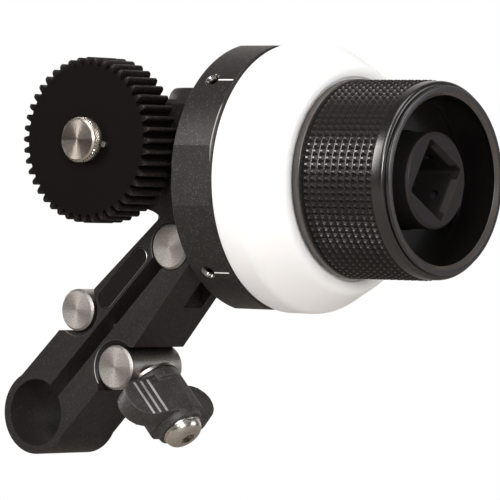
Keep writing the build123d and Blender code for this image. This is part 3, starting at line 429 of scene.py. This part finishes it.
def turned_steel(name, centre, face, colour=(0.4, 0.377, 0.358), rough=0.54, grain=0.7, mottle=0.3,
                 streak=0.72, side=None):
    """Steel faced on a lathe and a little worn: fine rings round a centre under a coarser mottle.  The rings'
    slopes run outwards, so the tangent is the direction from the centre, and each highlight is drawn out
    into a spoke.  Behind the face, on chamfer and barrel, the metal is smoother and has no rings."""
    n = Nodes(name)
    way, far = n.from_centre(centre, ACROSS_Y)
    rings = n.add("ShaderNodeTexNoise", noise_dimensions="1D", Scale=14000, Detail=3)
    n.link(far, rings.inputs["W"])
    behind = n.along("Y", face + 0.03, face + 0.08, 0, 1)
    spots = n.noise(3300, 3, rough=0.7)
    shades = scaled(colour, 1 - mottle), scaled(colour, 1 + mottle)
    metal = n.blend(n.ramp(spots, 0.36, 0.64, 0, 1), *shades)
    # Painted highlight: behind the face the same steel may take a brighter colour, so that knurl and chamfer
    # look lit.
    if side:
        metal = n.blend(behind, metal, side)
    n.link(way, n.shader.inputs["Tangent"])
    n.link(n.ramp(behind, 0, 1, streak, 0), n.shader.inputs["Anisotropic"])
    gloss = n.ramp(rings.outputs["Fac"], 0.3, 0.7, rough - 0.05, rough + 0.05)
    gloss = n.maths("MULTIPLY", gloss, n.along("Y", face + 0.4, face + 0.5, 1, 0.6))
    return n.finish(metal, gloss, n.bump(spots, grain, 0.02), Metallic=1.0)


def plain_metal(name, colour, rough=(0.25, 0.4), grain=0.15, scale=1500):
    """Machined metal: fine scratches in every direction and slightly uneven gloss."""
    n = Nodes(name)
    scratch = n.noise(1.0, 4, n.mapped((scale * 3, scale * 0.4, scale)))
    metal = n.uneven(300, scaled(colour, 0.85), colour, spread=0.2)
    return n.finish(metal, n.ramp(scratch, 0.3, 0.7, *rough), n.bump(scratch, grain, 0.01), Metallic=1.0)


def moulded(name, dark, light, rough=(0.45, 0.6), grain=0.4, scale=1400, depth=0.05, glint=0.0):
    """Moulded plastic or rubber: a fine eroded texture, with painted glints, a lighter colour, on its highest
    points.
    """
    n = Nodes(name)
    pebble = n.noise(scale, 4, rough=0.6)
    colour = n.uneven(180, dark, light)
    if glint:
        # Painted glints: lighter colour on the highest points of the texture.
        colour = n.blend(n.ramp(pebble, 0.56, 0.66, 0, 1), colour, shifted(light, glint))
    return n.finish(colour, n.ramp(pebble, 0.3, 0.7, *rough), n.bump(pebble, grain, depth))


def plate_finish(name, face):
    """Black plate with bright edges: behind its face, on chamfer and sides, the metal is left uncoated."""
    n = Nodes(name)
    bare_and_glint = n.along("Y", face + 0.004, face + 0.012, 0, 1)
    n.link(bare_and_glint, n.shader.inputs["Metallic"])
    return n.finish(n.blend(bare_and_glint, (0.0055, 0.0042, 0.004), (0.42, 0.39, 0.36)), 0.42,
                    n.bump(n.noise(2600, 2), 0.3, 0.02), Specular_IOR_Level=0.12)


def satin_white(name):
    """White satin plastic that takes a marker: nearly even, with a very fine grain, and not quite opaque."""
    n = Nodes(name)
    n.shader.inputs["Subsurface Radius"].default_value = (1.0, 0.9, 0.8)
    colour = n.uneven(40, (0.88, 0.875, 0.865), (0.91, 0.905, 0.90), 2, 0.2)
    return n.finish(colour, n.gloss(0.38, 0.46, 500, 2), n.bump(n.noise(2600, 2), 0.12, 0.01),
                    Specular_IOR_Level=0.4, Subsurface_Weight=0.6, Subsurface_Scale=4 * MM)


def hub_finish(name):
    """Anodised rim with a duller brown lead-in.  Down inside the socket and on the barrel behind the rim the
    colour is black, painted shade: the colour follows the distance along the wheel.  Round each corner of the
    socket's square a dark relief is drawn into the lead-in as painted shade."""
    n = Nodes(name)
    rim, brown, black = (0.016, 0.013, 0.0155), (0.03, 0.0243, 0.0208), (0.0048, 0.004, 0.0037)
    # Painted shade: black from 1.8 mm behind the rim inwards.
    colour = n.colours(n.along("X", HUB_FRONT - 2, HUB_FRONT, 0, 1),
                       [(0.1, black), (0.2, brown), (0.93, brown), (0.97, rim)])
    inside = n.along("X", HUB_FRONT - 0.4, HUB_FRONT - 0.3, 1, 0)
    # Painted shade at each corner relief of the square.
    for corner in np.radians(SOCKET_TURN + 45 + 90 * np.arange(4)):
        centre = (0, WHEEL_Y + RELIEF_AT * math.cos(corner), WHEEL_Z + RELIEF_AT * math.sin(corner))
        far = n.from_centre(centre, ACROSS_X)[1]
        near = n.ramp(far, RELIEF_RADIUS * MM, (RELIEF_RADIUS + 0.15) * MM, 1, 0)
        colour = n.blend(n.maths("MULTIPLY", near, inside), colour, black)
    # Painted shade: the hub's barrel, behind the rim, is black.
    far = n.from_centre(WHEEL_CENTRE, ACROSS_X)[1]
    barrel = n.maths("MULTIPLY", n.ramp(far, HUB_BARREL * MM, (HUB_BARREL + 0.15) * MM, 0, 1),
                     n.along("X", HUB_FRONT - 0.6, HUB_FRONT - 0.45, 1, 0))
    duller = n.along("X", HUB_FRONT - 0.2, HUB_FRONT - 0.05, 0.35, 0)
    return n.finish(n.blend(barrel, colour, black), n.maths("ADD", n.gloss(0.34, 0.44), duller),
                    n.bump(n.noise(3800, 2), 0.3, 0.02), Specular_IOR_Level=0.25)


def gear_finish(name, face, teeth):
    """Black gear with a painted highlight: its colour gets lighter towards the tips of its teeth.  Colour and
    gloss follow the distance from its axis."""
    n = Nodes(name)
    # Painted highlight: lighter colour towards the tips of the teeth.
    tip_highlight = n.ramp(n.from_centre(SPINDLE_CENTRE, ACROSS_Y)[1], 16.6 * MM, 18.5 * MM, 0, 1)
    fine = n.noise(2600, 3)
    streaked = n.blend(n.ramp(fine, 0.35, 0.65, 0, 1), face, teeth)
    n.link(n.ramp(tip_highlight, 0.5, 1, 0.045, 0.3), n.shader.inputs["Specular IOR Level"])
    return n.finish(n.blend(tip_highlight, face, streaked), n.gloss(0.36, 0.46), n.bump(fine, 0.15, 0.02),
                    Specular_IOR_Level=0.045)


def knurl_finish(name, dark, light):
    """Black knurling whose tips are smoother than the slopes between them, so that they glint."""
    n = Nodes(name)
    top = KNURL_BASE + KNURL_HEIGHT
    tip = n.ramp(n.from_centre(WHEEL_CENTRE, ACROSS_X)[1], (top - 0.11) * MM, (top - 0.03) * MM, 0, 1)
    n.link(n.ramp(tip, 0, 1, 0.2, 1.0), n.shader.inputs["Specular IOR Level"])
    return n.finish(n.uneven(60, dark, light), n.ramp(tip, 0, 1, 0.4, 0.25))


def grip_finish(name, dark, light, brown, ring):
    """Smooth black rim and recess.  The flange behind the knurling is a lighter brown, a painted sheen, and
    the bevel inside the mouth takes the same brown; the flat ring round the mouth is a little violet: the
    colour follows the distance along the wheel and from its axis."""
    n = Nodes(name)
    far = n.from_centre(WHEEL_CENTRE, ACROSS_X)[1]
    outside = n.ramp(far, (RECESS_RADIUS + 0.03) * MM, (RECESS_RADIUS + 0.23) * MM, 0, 1)
    # The flange's lighter brown is a painted sheen.
    drum = n.blend(n.along("X", FLANGE_FRONT, FLANGE_FRONT + 0.05, 0, 1), brown, n.uneven(60, dark, light))
    drum = n.blend(n.along("X", GRIP_FRONT - 0.08, GRIP_FRONT - 0.02, 0, 1), drum, ring)
    recess = n.blend(n.along("X", MOUTH_BEVEL, MOUTH_BEVEL + 0.1, 0, 1), dark, brown)
    n.link(n.ramp(outside, 0, 1, 0.6, 0.95), n.shader.inputs["Specular IOR Level"])
    return n.finish(n.blend(outside, recess, drum), n.gloss(0.24, 0.27))


BLACK_DYE = (0.013, 0.0104, 0.0098), (0.017, 0.0138, 0.013)
RING_DYE = (0.015, 0.0122, 0.0115), (0.020, 0.0165, 0.0155)
SEAT_WEAR_AND_HIGHLIGHT = (SLEEVE_AT, 6.2, 1.0), (PLUG_AT, 5.5, 0.35), (NUT_AT, 5.9, 0.5)    # centre, radius, how strong the worn band and its painted highlight are
BLACK_ANODISED = anodised("black anodised", BLACK_DYE, (0.44, 0.54), 0.7, 0.05, 0.2)
BLACK_ARM = anodised("black anodised arm", BLACK_DYE, (0.44, 0.54), 0.7, 0.05, 0.2, rims=SEAT_WEAR_AND_HIGHLIGHT)
LABEL_BLACK = plate_finish("black label plate", -LABEL_FRONT)
BLACK_RING = anodised("black anodised ring", RING_DYE, (0.38, 0.48), 0.9, 0.09, 0.28, edge=RING_EDGE)
BLACK_GEAR = gear_finish("black gear", (0.005, 0.0037, 0.0033), (0.036, 0.031, 0.0285))
BLACK_GRIP = grip_finish("black grip", (0.004, 0.0034, 0.0032), (0.006, 0.0051, 0.0048),
                         (0.055, 0.046, 0.041), (0.026, 0.0225, 0.027))
KNURL_FINISH = knurl_finish("black knurling", (0.013, 0.0108, 0.0098), (0.016, 0.0133, 0.0121))
GREY_HUB = hub_finish("grey hub")
WHITE_DISC = satin_white("white marking disc")
WHITE_PAINT = moulded("white index paint", (0.80, 0.80, 0.79), (0.88, 0.88, 0.87), (0.5, 0.65), 0.2, 2500,
                      0.01)
CHARCOAL = moulded("charcoal moulded knob", (0.024, 0.021, 0.02), (0.037, 0.0325, 0.031), (0.4, 0.55), 0.9,
                   2300, 0.1, 0.05)
SILVER_PRINT = moulded("silver ribs", (0.19, 0.183, 0.176), (0.42, 0.405, 0.39), (0.4, 0.55), 0.8, 2600, 0.05)
STEEL = plain_metal("stainless steel", (0.52, 0.49, 0.46))
POLISHED = plain_metal("polished steel", (0.67, 0.63, 0.575), (0.18, 0.32), 0.2, 900)
BLACK_STEEL = plain_metal("blackened steel", (0.05, 0.048, 0.046), (0.3, 0.45))
MACHINED = plain_metal("machined steel", (0.5, 0.49, 0.47))
ALUMINIUM = plain_metal("plain aluminium", (0.72, 0.72, 0.71), (0.3, 0.45))
BRONZE = plain_metal("bronze", (0.55, 0.36, 0.16), (0.35, 0.5))
NYLON = moulded("nylon pad", (0.62, 0.6, 0.54), (0.7, 0.68, 0.62), (0.45, 0.6), 0.2)
RUBBER = moulded("black rubber", (0.012, 0.012, 0.012), (0.02, 0.02, 0.02), (0.65, 0.8), 0.3)
THREAD_STEEL = plain_metal("thread steel", (0.38, 0.36, 0.34), (0.2, 0.3))
# The last colour, behind the face, is a brighter copy of the steel: a painted highlight on knurl and chamfer.
THUMB_STEEL = turned_steel("turned thumb screw", SPINDLE_CENTRE, THUMB_FRONT + 0.1, (0.25, 0.225, 0.2), 0.38,
                           0.3, 0.15, 0.95, (0.62, 0.57, 0.5))
NUT_STEEL = turned_steel("turned nut barrel", NUT_AT, BARREL_FACE)
SLEEVE_STEEL = turned_steel("turned sleeve barrel", SLEEVE_AT, BARREL_FACE)
PLUG_STEEL = turned_steel("turned slot plug", PLUG_AT, BARREL_FACE)

NODE_MATERIALS = {
    "clamp_arm": BLACK_ANODISED, "gearbox_body": BLACK_ANODISED, "gearbox_rear_cover": BLACK_ANODISED,
    "bearing_housing": BLACK_ANODISED, "index_ring": BLACK_RING, "bearing_plate": ALUMINIUM,
    "drive_gear": BLACK_GEAR, "handwheel_shell": BLACK_GRIP, "handwheel_hub": GREY_HUB,
    "marking_disc": WHITE_DISC, "index_lines": WHITE_PAINT, "wing_knob": CHARCOAL,
    "knob_stripes": SILVER_PRINT, "clamp_screw": POLISHED, "clamp_collar": STEEL,
    "clamp_barrel_nut": NUT_STEEL, "clamp_barrel_sleeve": SLEEVE_STEEL, "slot_end_plug": PLUG_STEEL,
    "gear_thumb_screw": THUMB_STEEL, "gear_washer": STEEL, "drive_pin": STEEL, "top_plug": BLACK_ANODISED,
    "arm_fixing_screw": BLACK_STEEL, "cover_screws": BLACK_STEEL, "housing_screws": BLACK_STEEL,
    "index_screws": BLACK_STEEL, "hub_screws": BLACK_STEEL, "hub_centre_screw": BLACK_STEEL,
    "arm_dowels": MACHINED, "gear_spindle": MACHINED, "layshaft": MACHINED, "handwheel_shaft": MACHINED,
    "layshaft_spur_gear": MACHINED, "spindle_spur_gear": MACHINED, "bevel_pinion": MACHINED,
    "bevel_gear": MACHINED, "spindle_clip": MACHINED, "shaft_circlip": MACHINED, "drag_spring": STEEL,
    "spindle_bushes": BRONZE, "layshaft_bushes": BRONZE, "handwheel_bushes": BRONZE,
    "drag_pad": NYLON, "friction_rings": RUBBER,
}
for node_name, material in NODE_MATERIALS.items():
    for material_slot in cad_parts[node_name].material_slots:
        material_slot.material = material


def dress(obj, body, material):
    """Puts a new piece on its body, and gives it its material."""
    obj.data.materials.clear()
    obj.data.materials.append(material)
    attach(obj, body)


# ---------------------------------------------------------------- arm and gearbox
arm = copied("arm_body", "clamp_arm", 0.3)
dress(arm, "frame", BLACK_ARM)


def make_label_plate():
    """Bare plate with round ends and a chamfered edge: at each of three heights, half circles round two
    centres, with the chamfer as the loss of radius."""
    points = 24
    turn = np.radians(np.concatenate([np.linspace(135, 315, points), np.linspace(-45, 135, points)]))
    centres = np.repeat(LABEL_ENDS, points, axis=0)
    around = np.column_stack([np.cos(turn), np.sin(turn)])
    levels = ((LABEL_BACK, 0), (LABEL_EDGE, 0), (LABEL_FRONT, LABEL_CHAMFER))
    rows = [np.column_stack([centres + (LABEL_RADIUS - loss) * around, np.full(2 * points, height)])
            for height, loss in levels]
    origin, axes = axis((0, 0, 0), (0, -1, 0), (1, 0, 0))
    ends = [list(range(2 * points)), list(range(4 * points, 6 * points))]
    return piece("label_plate", origin + np.concatenate(rows) @ axes, grid_faces(3, 2 * points) + ends, 30)


dress(make_label_plate(), "frame", LABEL_BLACK)
box = copied("gearbox_case", "gearbox_body", 0.3)
dress(box, "frame", BLACK_ANODISED)
cover = copied("gearbox_cover", "gearbox_rear_cover", 0.2)
dress(cover, "frame", BLACK_ANODISED)


def make_cap():
    """Low plug with a sloping edge on a hollow stem: a profile of heights and radii, turned."""
    cap = turned("top_cap", TOP_CAP, [
        (66.4, 0), (66.4, 2.2), (67.6, 2.2), (67.6, 3.99), (66.4, 4.0), (70.9, 4.0),
        (70.9, 11.0, 0.2), (72.5, 10.55, 0.6), (73.8, 9.6, 0.8), (73.8, 0)])
    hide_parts("top_plug")
    return cap


dress(make_cap(), "frame", BLACK_ANODISED)


# ---------------------------------------------------------------- index ring
def flat_sided(radius, turn):
    """The ring's radius: no point lies further out than the nearest of four flats."""
    nearest = np.abs((turn + np.pi / 4) % (np.pi / 2) - np.pi / 4)
    return np.minimum(radius, RING_FLAT / np.cos(nearest))


def ring_angles():
    """Evenly spread angles, with extra ones at both ends of each flat."""
    half = math.acos(RING_FLAT / RING_RADIUS)
    ends = [quarter * np.pi / 2 + side * half + small for quarter in range(4) for side in (-1, 1)
            for small in (-0.004, 0.0, 0.004)]
    even = np.linspace(0, 2 * np.pi, 240, endpoint=False)
    return np.unique(np.round(np.concatenate([even, np.mod(ends, 2 * np.pi)]), 5))


def make_ring():
    """Turned ring with four flats, four grub screw holes and four shallow grooves for the index lines."""
    ring = turned("ring", WHEEL, [
        (RING_BACK, 20.02), (RING_BACK, 29.5, 0.15), (45.5, RING_RADIUS, 0.15), (55.8, RING_RADIUS, 0.2),
        (RING_FRONT, 29.4, 0.2), (RING_FRONT, 24.0, 0.2), (54.0, 24.0), (54.0, 20.02)],
        closed=True, law=flat_sided, angles=ring_angles(), sharp=35)
    groove = [(1.7, -0.2), (5.9, -0.2), (5.9, 0.2), (1.7, 0.2)]
    cutters = []
    for angle in GRUB_ANGLES:
        cutters.append(turned("hole", spoke(angle), [
            (19, 0), (19, 1.52), (29.75, 1.52), (30.2, 1.9), (31, 1.9), (31, 0)], columns=40))
        cutters.append(prism("groove", spoke(angle), groove, 29.85, 30.5))
    cut(ring, cutters, 35)
    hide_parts("index_ring")
    return ring


dress(make_ring(), "frame", BLACK_RING)


def make_hole_threads():
    """Bare metal in the mouths of the grub screw holes: in each, a zigzag profile of two turns of thread and
    a countersink, turned."""
    profile = [(29.12, 1.515), (29.14, 1.32), (29.4, 1.46), (29.44, 1.32), (29.7, 1.46), (29.75, 1.49),
               (29.97, 1.685), (29.98, 1.7), (29.74, 1.515)]
    threads = [turned("index_threads", spoke(angle), profile, columns=40, closed=True, sharp=25)
               for angle in GRUB_ANGLES]
    return joined(*threads)


dress(make_hole_threads(), "frame", THREAD_STEEL)


# ---------------------------------------------------------------- marking disc
def make_disc():
    """Cone with a round rim and a hollow back: a profile along the wheel, turned."""
    disc = turned("disc", WHEEL, [
        (56.9, 7.04), (56.9, 11.5), (69.8, 11.5), (69.8, 20.0), (61.9, 26.5), (56.9, 26.5), (56.9, 30.0, 0.3),
        (63.85, 30.0, 1.2), (73.3, 25.0, 1.5), (73.3, 22.6, 0.2), (72.6, 22.6), (72.6, 7.04)],
        closed=True, columns=256)
    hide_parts("marking_disc")
    return disc


dress(make_disc(), "marking_disc", WHITE_DISC)


# ---------------------------------------------------------------- handwheel
def make_shell():
    """Grip without its knurling, a turned profile: rear flange, drum, bull-nosed rim, groove, flat ring round
    the mouth, and stepped recess."""
    shell = turned("grip_shell", WHEEL, [
        (72.9, 16.22), (72.9, 22.1, 0.3), (FLANGE_FRONT, 22.1, 0.3), (FLANGE_FRONT, 21.25),
        (KNURL_FRONT, 21.25), (KNURL_FRONT, 21.75, 0.12), (97.5, 21.7, 1.0), (97.5, 20.5), (97.75, 20.5),
        (97.75, 20.75, 0.1), (GRIP_FRONT, 20.65, 0.3), (GRIP_FRONT, 19.45, 0.05), (97.75, 18.6, 0.08),
        (97.3, 18.6), (97.1, RECESS_RADIUS), (88.4, RECESS_RADIUS), (88.4, 18.87), (87.5, 18.87),
        (87.5, 10.92), (84.0, 10.92), (84.0, 16.22)], closed=True, columns=256)
    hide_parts("handwheel_shell")
    return shell


dress(make_shell(), "handwheel", BLACK_GRIP)
knurl = pyramids("grip_knurl", WHEEL, (KNURL_BACK, KNURL_FRONT), KNURL_ROWS, KNURL_PITCH, KNURL_BASE,
                 KNURL_HEIGHT, top=0.2, inset=0.1)
dress(knurl, "handwheel", KNURL_FINISH)
hub = copied("crank_hub", "handwheel_hub", 0.3, angle=25)
dress(hub, "handwheel", GREY_HUB)


# ---------------------------------------------------------------- drive gear
def tooth_outline():
    """Angles and radii of involute teeth with eased tips and roots: each flank is sampled at seven radii, as
    the opening of the involute from its base circle, and mirrored."""
    pitch = GEAR_MODULE * GEAR_TEETH / 2
    base = pitch * math.cos(math.radians(PRESSURE_ANGLE))
    tip, root = pitch + GEAR_MODULE, pitch - 1.25 * GEAR_MODULE
    radii = np.array([root, root + 0.12, base, pitch - 0.25, pitch + 0.25, tip - 0.1, tip])
    reach = np.maximum(radii, base) / base
    opening = np.sqrt(reach ** 2 - 1) - np.arccos(1 / reach)
    at_pitch = math.sqrt((pitch / base) ** 2 - 1) - math.acos(base / pitch)
    half = np.pi / (2 * GEAR_TEETH) - TOOTH_PLAY / (2 * pitch) + at_pitch - opening
    half[0] += 0.0065
    half[-1] -= 0.005
    flank = np.concatenate([-half, half[::-1]])
    teeth = np.arange(GEAR_TEETH)[:, None] * 2 * np.pi / GEAR_TEETH
    return (teeth + flank).reshape(-1), np.tile(np.concatenate([radii, radii[::-1]]), GEAR_TEETH)


def make_gear():
    """Gear blank under the tooth outline: at each distance along the axis the outline is held inside the
    blank's radius, which falls a little towards both faces."""
    turn, outline = tooth_outline()
    root, tip = outline.min(), outline.max()
    front = [(0.0, GEAR_BORE), (0.0, root - 1.0), (0.0, root - 0.12), (0.0, root + 0.95), (0.0, tip - 0.34),
             (0.04, tip - 0.27), (0.28, tip - 0.05), (0.4, tip + 0.02)]
    back = [(GEAR_WIDTH - along, radius) for along, radius in front[::-1]]
    blank = np.array([*front, (GEAR_WIDTH / 2, tip + 0.1), *back])
    radius = np.minimum(blank[:, 1:], outline[None, :])
    along = GEAR_FRONT + blank[:, :1] + 0 * radius
    local = np.stack([radius * np.cos(turn), radius * np.sin(turn), along], axis=-1).reshape(-1, 3)
    gear = piece("focus_gear", SPINDLE[0] + local @ SPINDLE[1], grid_faces(len(blank), len(turn), True), 30)
    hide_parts("drive_gear")
    return gear


dress(make_gear(), "gear_spindle", BLACK_GEAR)


def make_thumb_screw():
    """Head with a diamond knurl, a hollow turned face and a wide chamfer, on a plain shank."""
    front, back = THUMB_FRONT, THUMB_BACK
    head = turned("thumb_head", SPINDLE, [
        (front + 0.35, 0), (front + 0.35, 0.15), (front + 0.06, 0.3, 0.04), (front + 0.03, 4.2, 0.1),
        (front, 4.35, 0.08), (front + 0.6, 4.85, 0.1), (front + 0.75, 4.8), (back - 0.4, 4.8),
        (back - 0.25, 4.85, 0.1), (back, 4.55), (back, 2.0), (-12.0, 2.0), (-12.0, 0)], columns=128)
    grip = pyramids("thumb_knurl", SPINDLE, (front + 0.75, back - 0.25), rows=44, pitch=0.7, base=4.78,
                    height=0.22, top=0.15, inset=0.1, diamond=True)
    thumb = joined(head, grip)
    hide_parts("gear_thumb_screw")
    return thumb


dress(make_thumb_screw(), "gear_screw", THUMB_STEEL)


# ---------------------------------------------------------------- clamp screw and knob
def make_button_screw():
    """Screw with a domed head, its hexagon socket and its shank: the dome's profile is part of an ellipse."""
    seat, rim, top = KNOB_FRONT, KNOB_FRONT + BUTTON_RIM, KNOB_FRONT + BUTTON_HEIGHT
    swing = np.linspace(0, np.pi / 2, 14)
    foot = seat + 0.7
    dome = [(foot + (top - foot) * math.sin(s), BUTTON_RADIUS * (0.5 + 0.46 * math.cos(s))) for s in swing]
    button = turned("button_screw", SCREW, [
        (SCREW_TIP, 0), (SCREW_TIP, 2.2, 0.1), (SCREW_TIP + 0.4, SCREW_RADIUS, 0.1), (seat, SCREW_RADIUS),
        (seat, BUTTON_RADIUS, 0.1), (rim, BUTTON_RADIUS, 0.12), (rim + 0.02, BUTTON_RADIUS * 0.96), *dome,
        (top, 0)], columns=128, sharp=30)
    corner = np.radians(np.arange(6) * 60 + 12)
    hexagon = np.column_stack([np.cos(corner), np.sin(corner)]) * 1.73
    cut(button, [prism("key", SCREW, hexagon, top - 1.8, top + 1)], 30)
    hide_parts("clamp_screw")
    return button


dress(make_button_screw(), "clamp_knob", POLISHED)


def knob_axis():
    """The screw's axis, turned so that angle 180 points along the wing nearer the front."""
    turn = math.radians(KNOB_TURN)
    origin, rows = SCREW
    across = rows[0] * math.cos(turn) + rows[1] * math.sin(turn)
    return axis(origin, rows[2], across)


def make_knob():
    """Moulded knob: boss with two flats and two round-ended wings, remeshed so that every edge is soft."""
    place = knob_axis()
    origin, (across, beside, along) = place
    half = np.array([(6.8, 0), (6.6, 1.9), (5.9, 3.4), (4.4, 4.85), (1.8, 5.5),
                     (-4.0, 5.5), (-5.9, 3.4), (-6.6, 1.8)])
    boss = prism("knob", place, np.concatenate([half, -half]), KNOB_BACK + 1.4, KNOB_FRONT - 1.6)
    nose = turned("nose", SCREW, [
        (KNOB_FRONT - 3.0, 0), (KNOB_FRONT - 3.0, 5.4), (KNOB_FRONT - 1.6, 5.6, 0.4), (KNOB_FRONT, 5.3),
        (KNOB_FRONT, 0)], columns=96)
    neck = turned("neck", SCREW, [
        (KNOB_BACK, 0), (KNOB_BACK, 6.4), (KNOB_BACK + 2.6, 6.4), (KNOB_BACK + 2.6, 0)], columns=96)
    solids = [boss, nose, neck]
    reach, middle, radius, inner = 9.0, 11.32, 5.0, -1.8
    around = np.linspace(-np.pi / 2, np.pi / 2, 24)
    end = np.column_stack([reach + radius * np.cos(around), middle + radius * np.sin(around)])
    wing = np.concatenate([end, [(inner, middle + radius), (inner, middle - radius)]])
    for side in (-1, 1):
        flat = (origin, np.array([across, along, beside]))
        solids.append(prism("wing", flat, wing * (side, 1), *sorted((-side * 1.0, -side * 5.5))))
    knob = joined(*solids)
    soften = knob.modifiers.new("voxels", "REMESH")
    soften.mode, soften.voxel_size = "VOXEL", 0.2 * MM
    relax = knob.modifiers.new("relax", "SMOOTH")
    relax.factor, relax.iterations = 0.5, 5
    applied(knob)
    knob.data.shade_smooth()
    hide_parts("wing_knob")
    return knob


dress(make_knob(), "clamp_knob", CHARCOAL)
ribs = copied("knob_ribs", "knob_stripes", 0.08)
dress(ribs, "clamp_knob", SILVER_PRINT)


# ---------------------------------------------------------------- floor, light and camera
MIDDLE = Vector((0.045, 0.01, 0.04))    # of the unit, in metres: where the lights face


def direction(azimuth, elevation):
    """Unit vector towards an azimuth and elevation in degrees; azimuth 0 is -Y, and 90 is +X."""
    turn, rise = math.radians(azimuth), math.radians(elevation)
    return Vector((math.sin(turn) * math.cos(rise), -math.cos(turn) * math.cos(rise), math.sin(rise)))


def floor_finish():
    """Pale floor: it lights the unit as paper would, is plain white to look at, and shows dimly in gloss."""
    n = Nodes("pale floor")
    pale, dim = n.uneven(3, (0.62, 0.59, 0.57), (0.64, 0.61, 0.59), 2, 0.2), (0.34, 0.31, 0.285)
    glossy_ray = n.add("ShaderNodeLightPath").outputs["Is Glossy Ray"]
    n.finish(n.blend(glossy_ray, pale, dim), 0.8)
    plain = n.add("ShaderNodeEmission")
    path, mix = n.add("ShaderNodeLightPath"), n.add("ShaderNodeMixShader")
    n.link(path.outputs["Is Camera Ray"], mix.inputs[0])
    n.link(n.shader.outputs[0], mix.inputs[1])
    n.link(plain.outputs[0], mix.inputs[2])
    n.link(mix.outputs[0], n.tree.nodes["Material Output"].inputs[0])
    return n.material


def make_floor():
    """Round pale floor under the unit: one flat face, with its points on a circle."""
    count, middle, radius, height = 96, 50, 800, -36.0
    swing = np.linspace(0, 2 * np.pi, count, endpoint=False)
    x, y = middle + radius * np.cos(swing), radius * np.sin(swing)
    points = np.column_stack([x, y, np.full(count, height)])
    floor = piece("floor", points, [list(range(count))])
    floor.data.materials.append(floor_finish())


def area_light(name, azimuth, elevation, distance, size, power, colour=(1, 1, 1)):
    """Soft oblong light that faces the middle of the unit."""
    back = direction(azimuth, elevation)
    data = bpy.data.lights.new(name, "AREA")
    data.shape, data.size, data.size_y = "RECTANGLE", size[0], size[1]
    data.energy, data.color = power, colour
    light = placed(name, data)
    light.location = MIDDLE + back * distance
    light.rotation_mode = "QUATERNION"
    light.rotation_quaternion = (-back).to_track_quat("-Z", "Y")


def make_world(dim, bright):
    """White for the camera.  The unit sees a dim studio with a bright backdrop behind it, so the strength
    rises with the cosine between a ray's direction and the backdrop's."""
    world = bpy.data.worlds.new("studio")
    world.use_nodes = True
    tree = world.node_tree
    tree.nodes.clear()
    kinds = ("TexCoord", "VectorMath", "MapRange", "Background", "Background", "LightPath", "MixShader",
             "OutputWorld")
    place, way, rise, studio, white, path, mix, out = (tree.nodes.new("ShaderNode" + kind) for kind in kinds)
    way.operation = "DOT_PRODUCT"
    way.inputs[1].default_value = BACKDROP
    for key, value in (("From Min", 0.5), ("From Max", 0.85), ("To Min", dim), ("To Max", bright)):
        rise.inputs[key].default_value = value
    studio.inputs["Color"].default_value = (1, 0.94, 0.9, 1)
    white.inputs["Color"].default_value = (1, 1, 1, 1)
    for source, target in (
            (place.outputs["Generated"], way.inputs[0]), (way.outputs["Value"], rise.inputs["Value"]),
            (rise.outputs["Result"], studio.inputs["Strength"]),
            (path.outputs["Is Camera Ray"], mix.inputs[0]), (studio.outputs[0], mix.inputs[1]),
            (white.outputs[0], mix.inputs[2]), (mix.outputs[0], out.inputs[0])):
        tree.links.new(source, target)
    bpy.context.scene.world = world


def make_camera():
    """Long lens at the level of the unit, a little rolled."""
    back, roll, distance = direction(38.9, 0.5), math.radians(1.2), 1.2
    target = Vector((46.68, 9.2, 37.8)) * MM
    data = bpy.data.cameras.new("camera")
    data.lens, data.sensor_width = 387.6, 36
    data.clip_start, data.clip_end = 0.05, 20
    camera = placed("camera", data)
    facing = (-back).to_track_quat("-Z", "Y").to_matrix().to_4x4()
    at = Matrix.Translation(target + back * distance)
    camera.matrix_world = at @ facing @ Matrix.Rotation(roll, 4, "Z")
    bpy.context.scene.camera = camera


make_floor()
make_world(0.11, 0.9)
# Each light: azimuth and elevation, distance, width and height in metres, power in watts, and colour.
area_light("key", 20, 40, 1.1, (0.6, 0.6), 6)
area_light("left", -41, 23, 1.1, (0.25, 0.5), 4.8, (1, 0.955, 0.925))
area_light("rim", -95, 0, 1.1, (0.3, 0.6), 4)
area_light("right", 47, 16, 1.2, (0.12, 0.32), 7.4)
area_light("top", 40, 80, 1.0, (0.6, 0.6), 3.5)
area_light("side", 120, 15, 1.2, (0.6, 0.6), 3.2)
make_camera()
bpy.context.scene.view_settings.view_transform = "Standard"
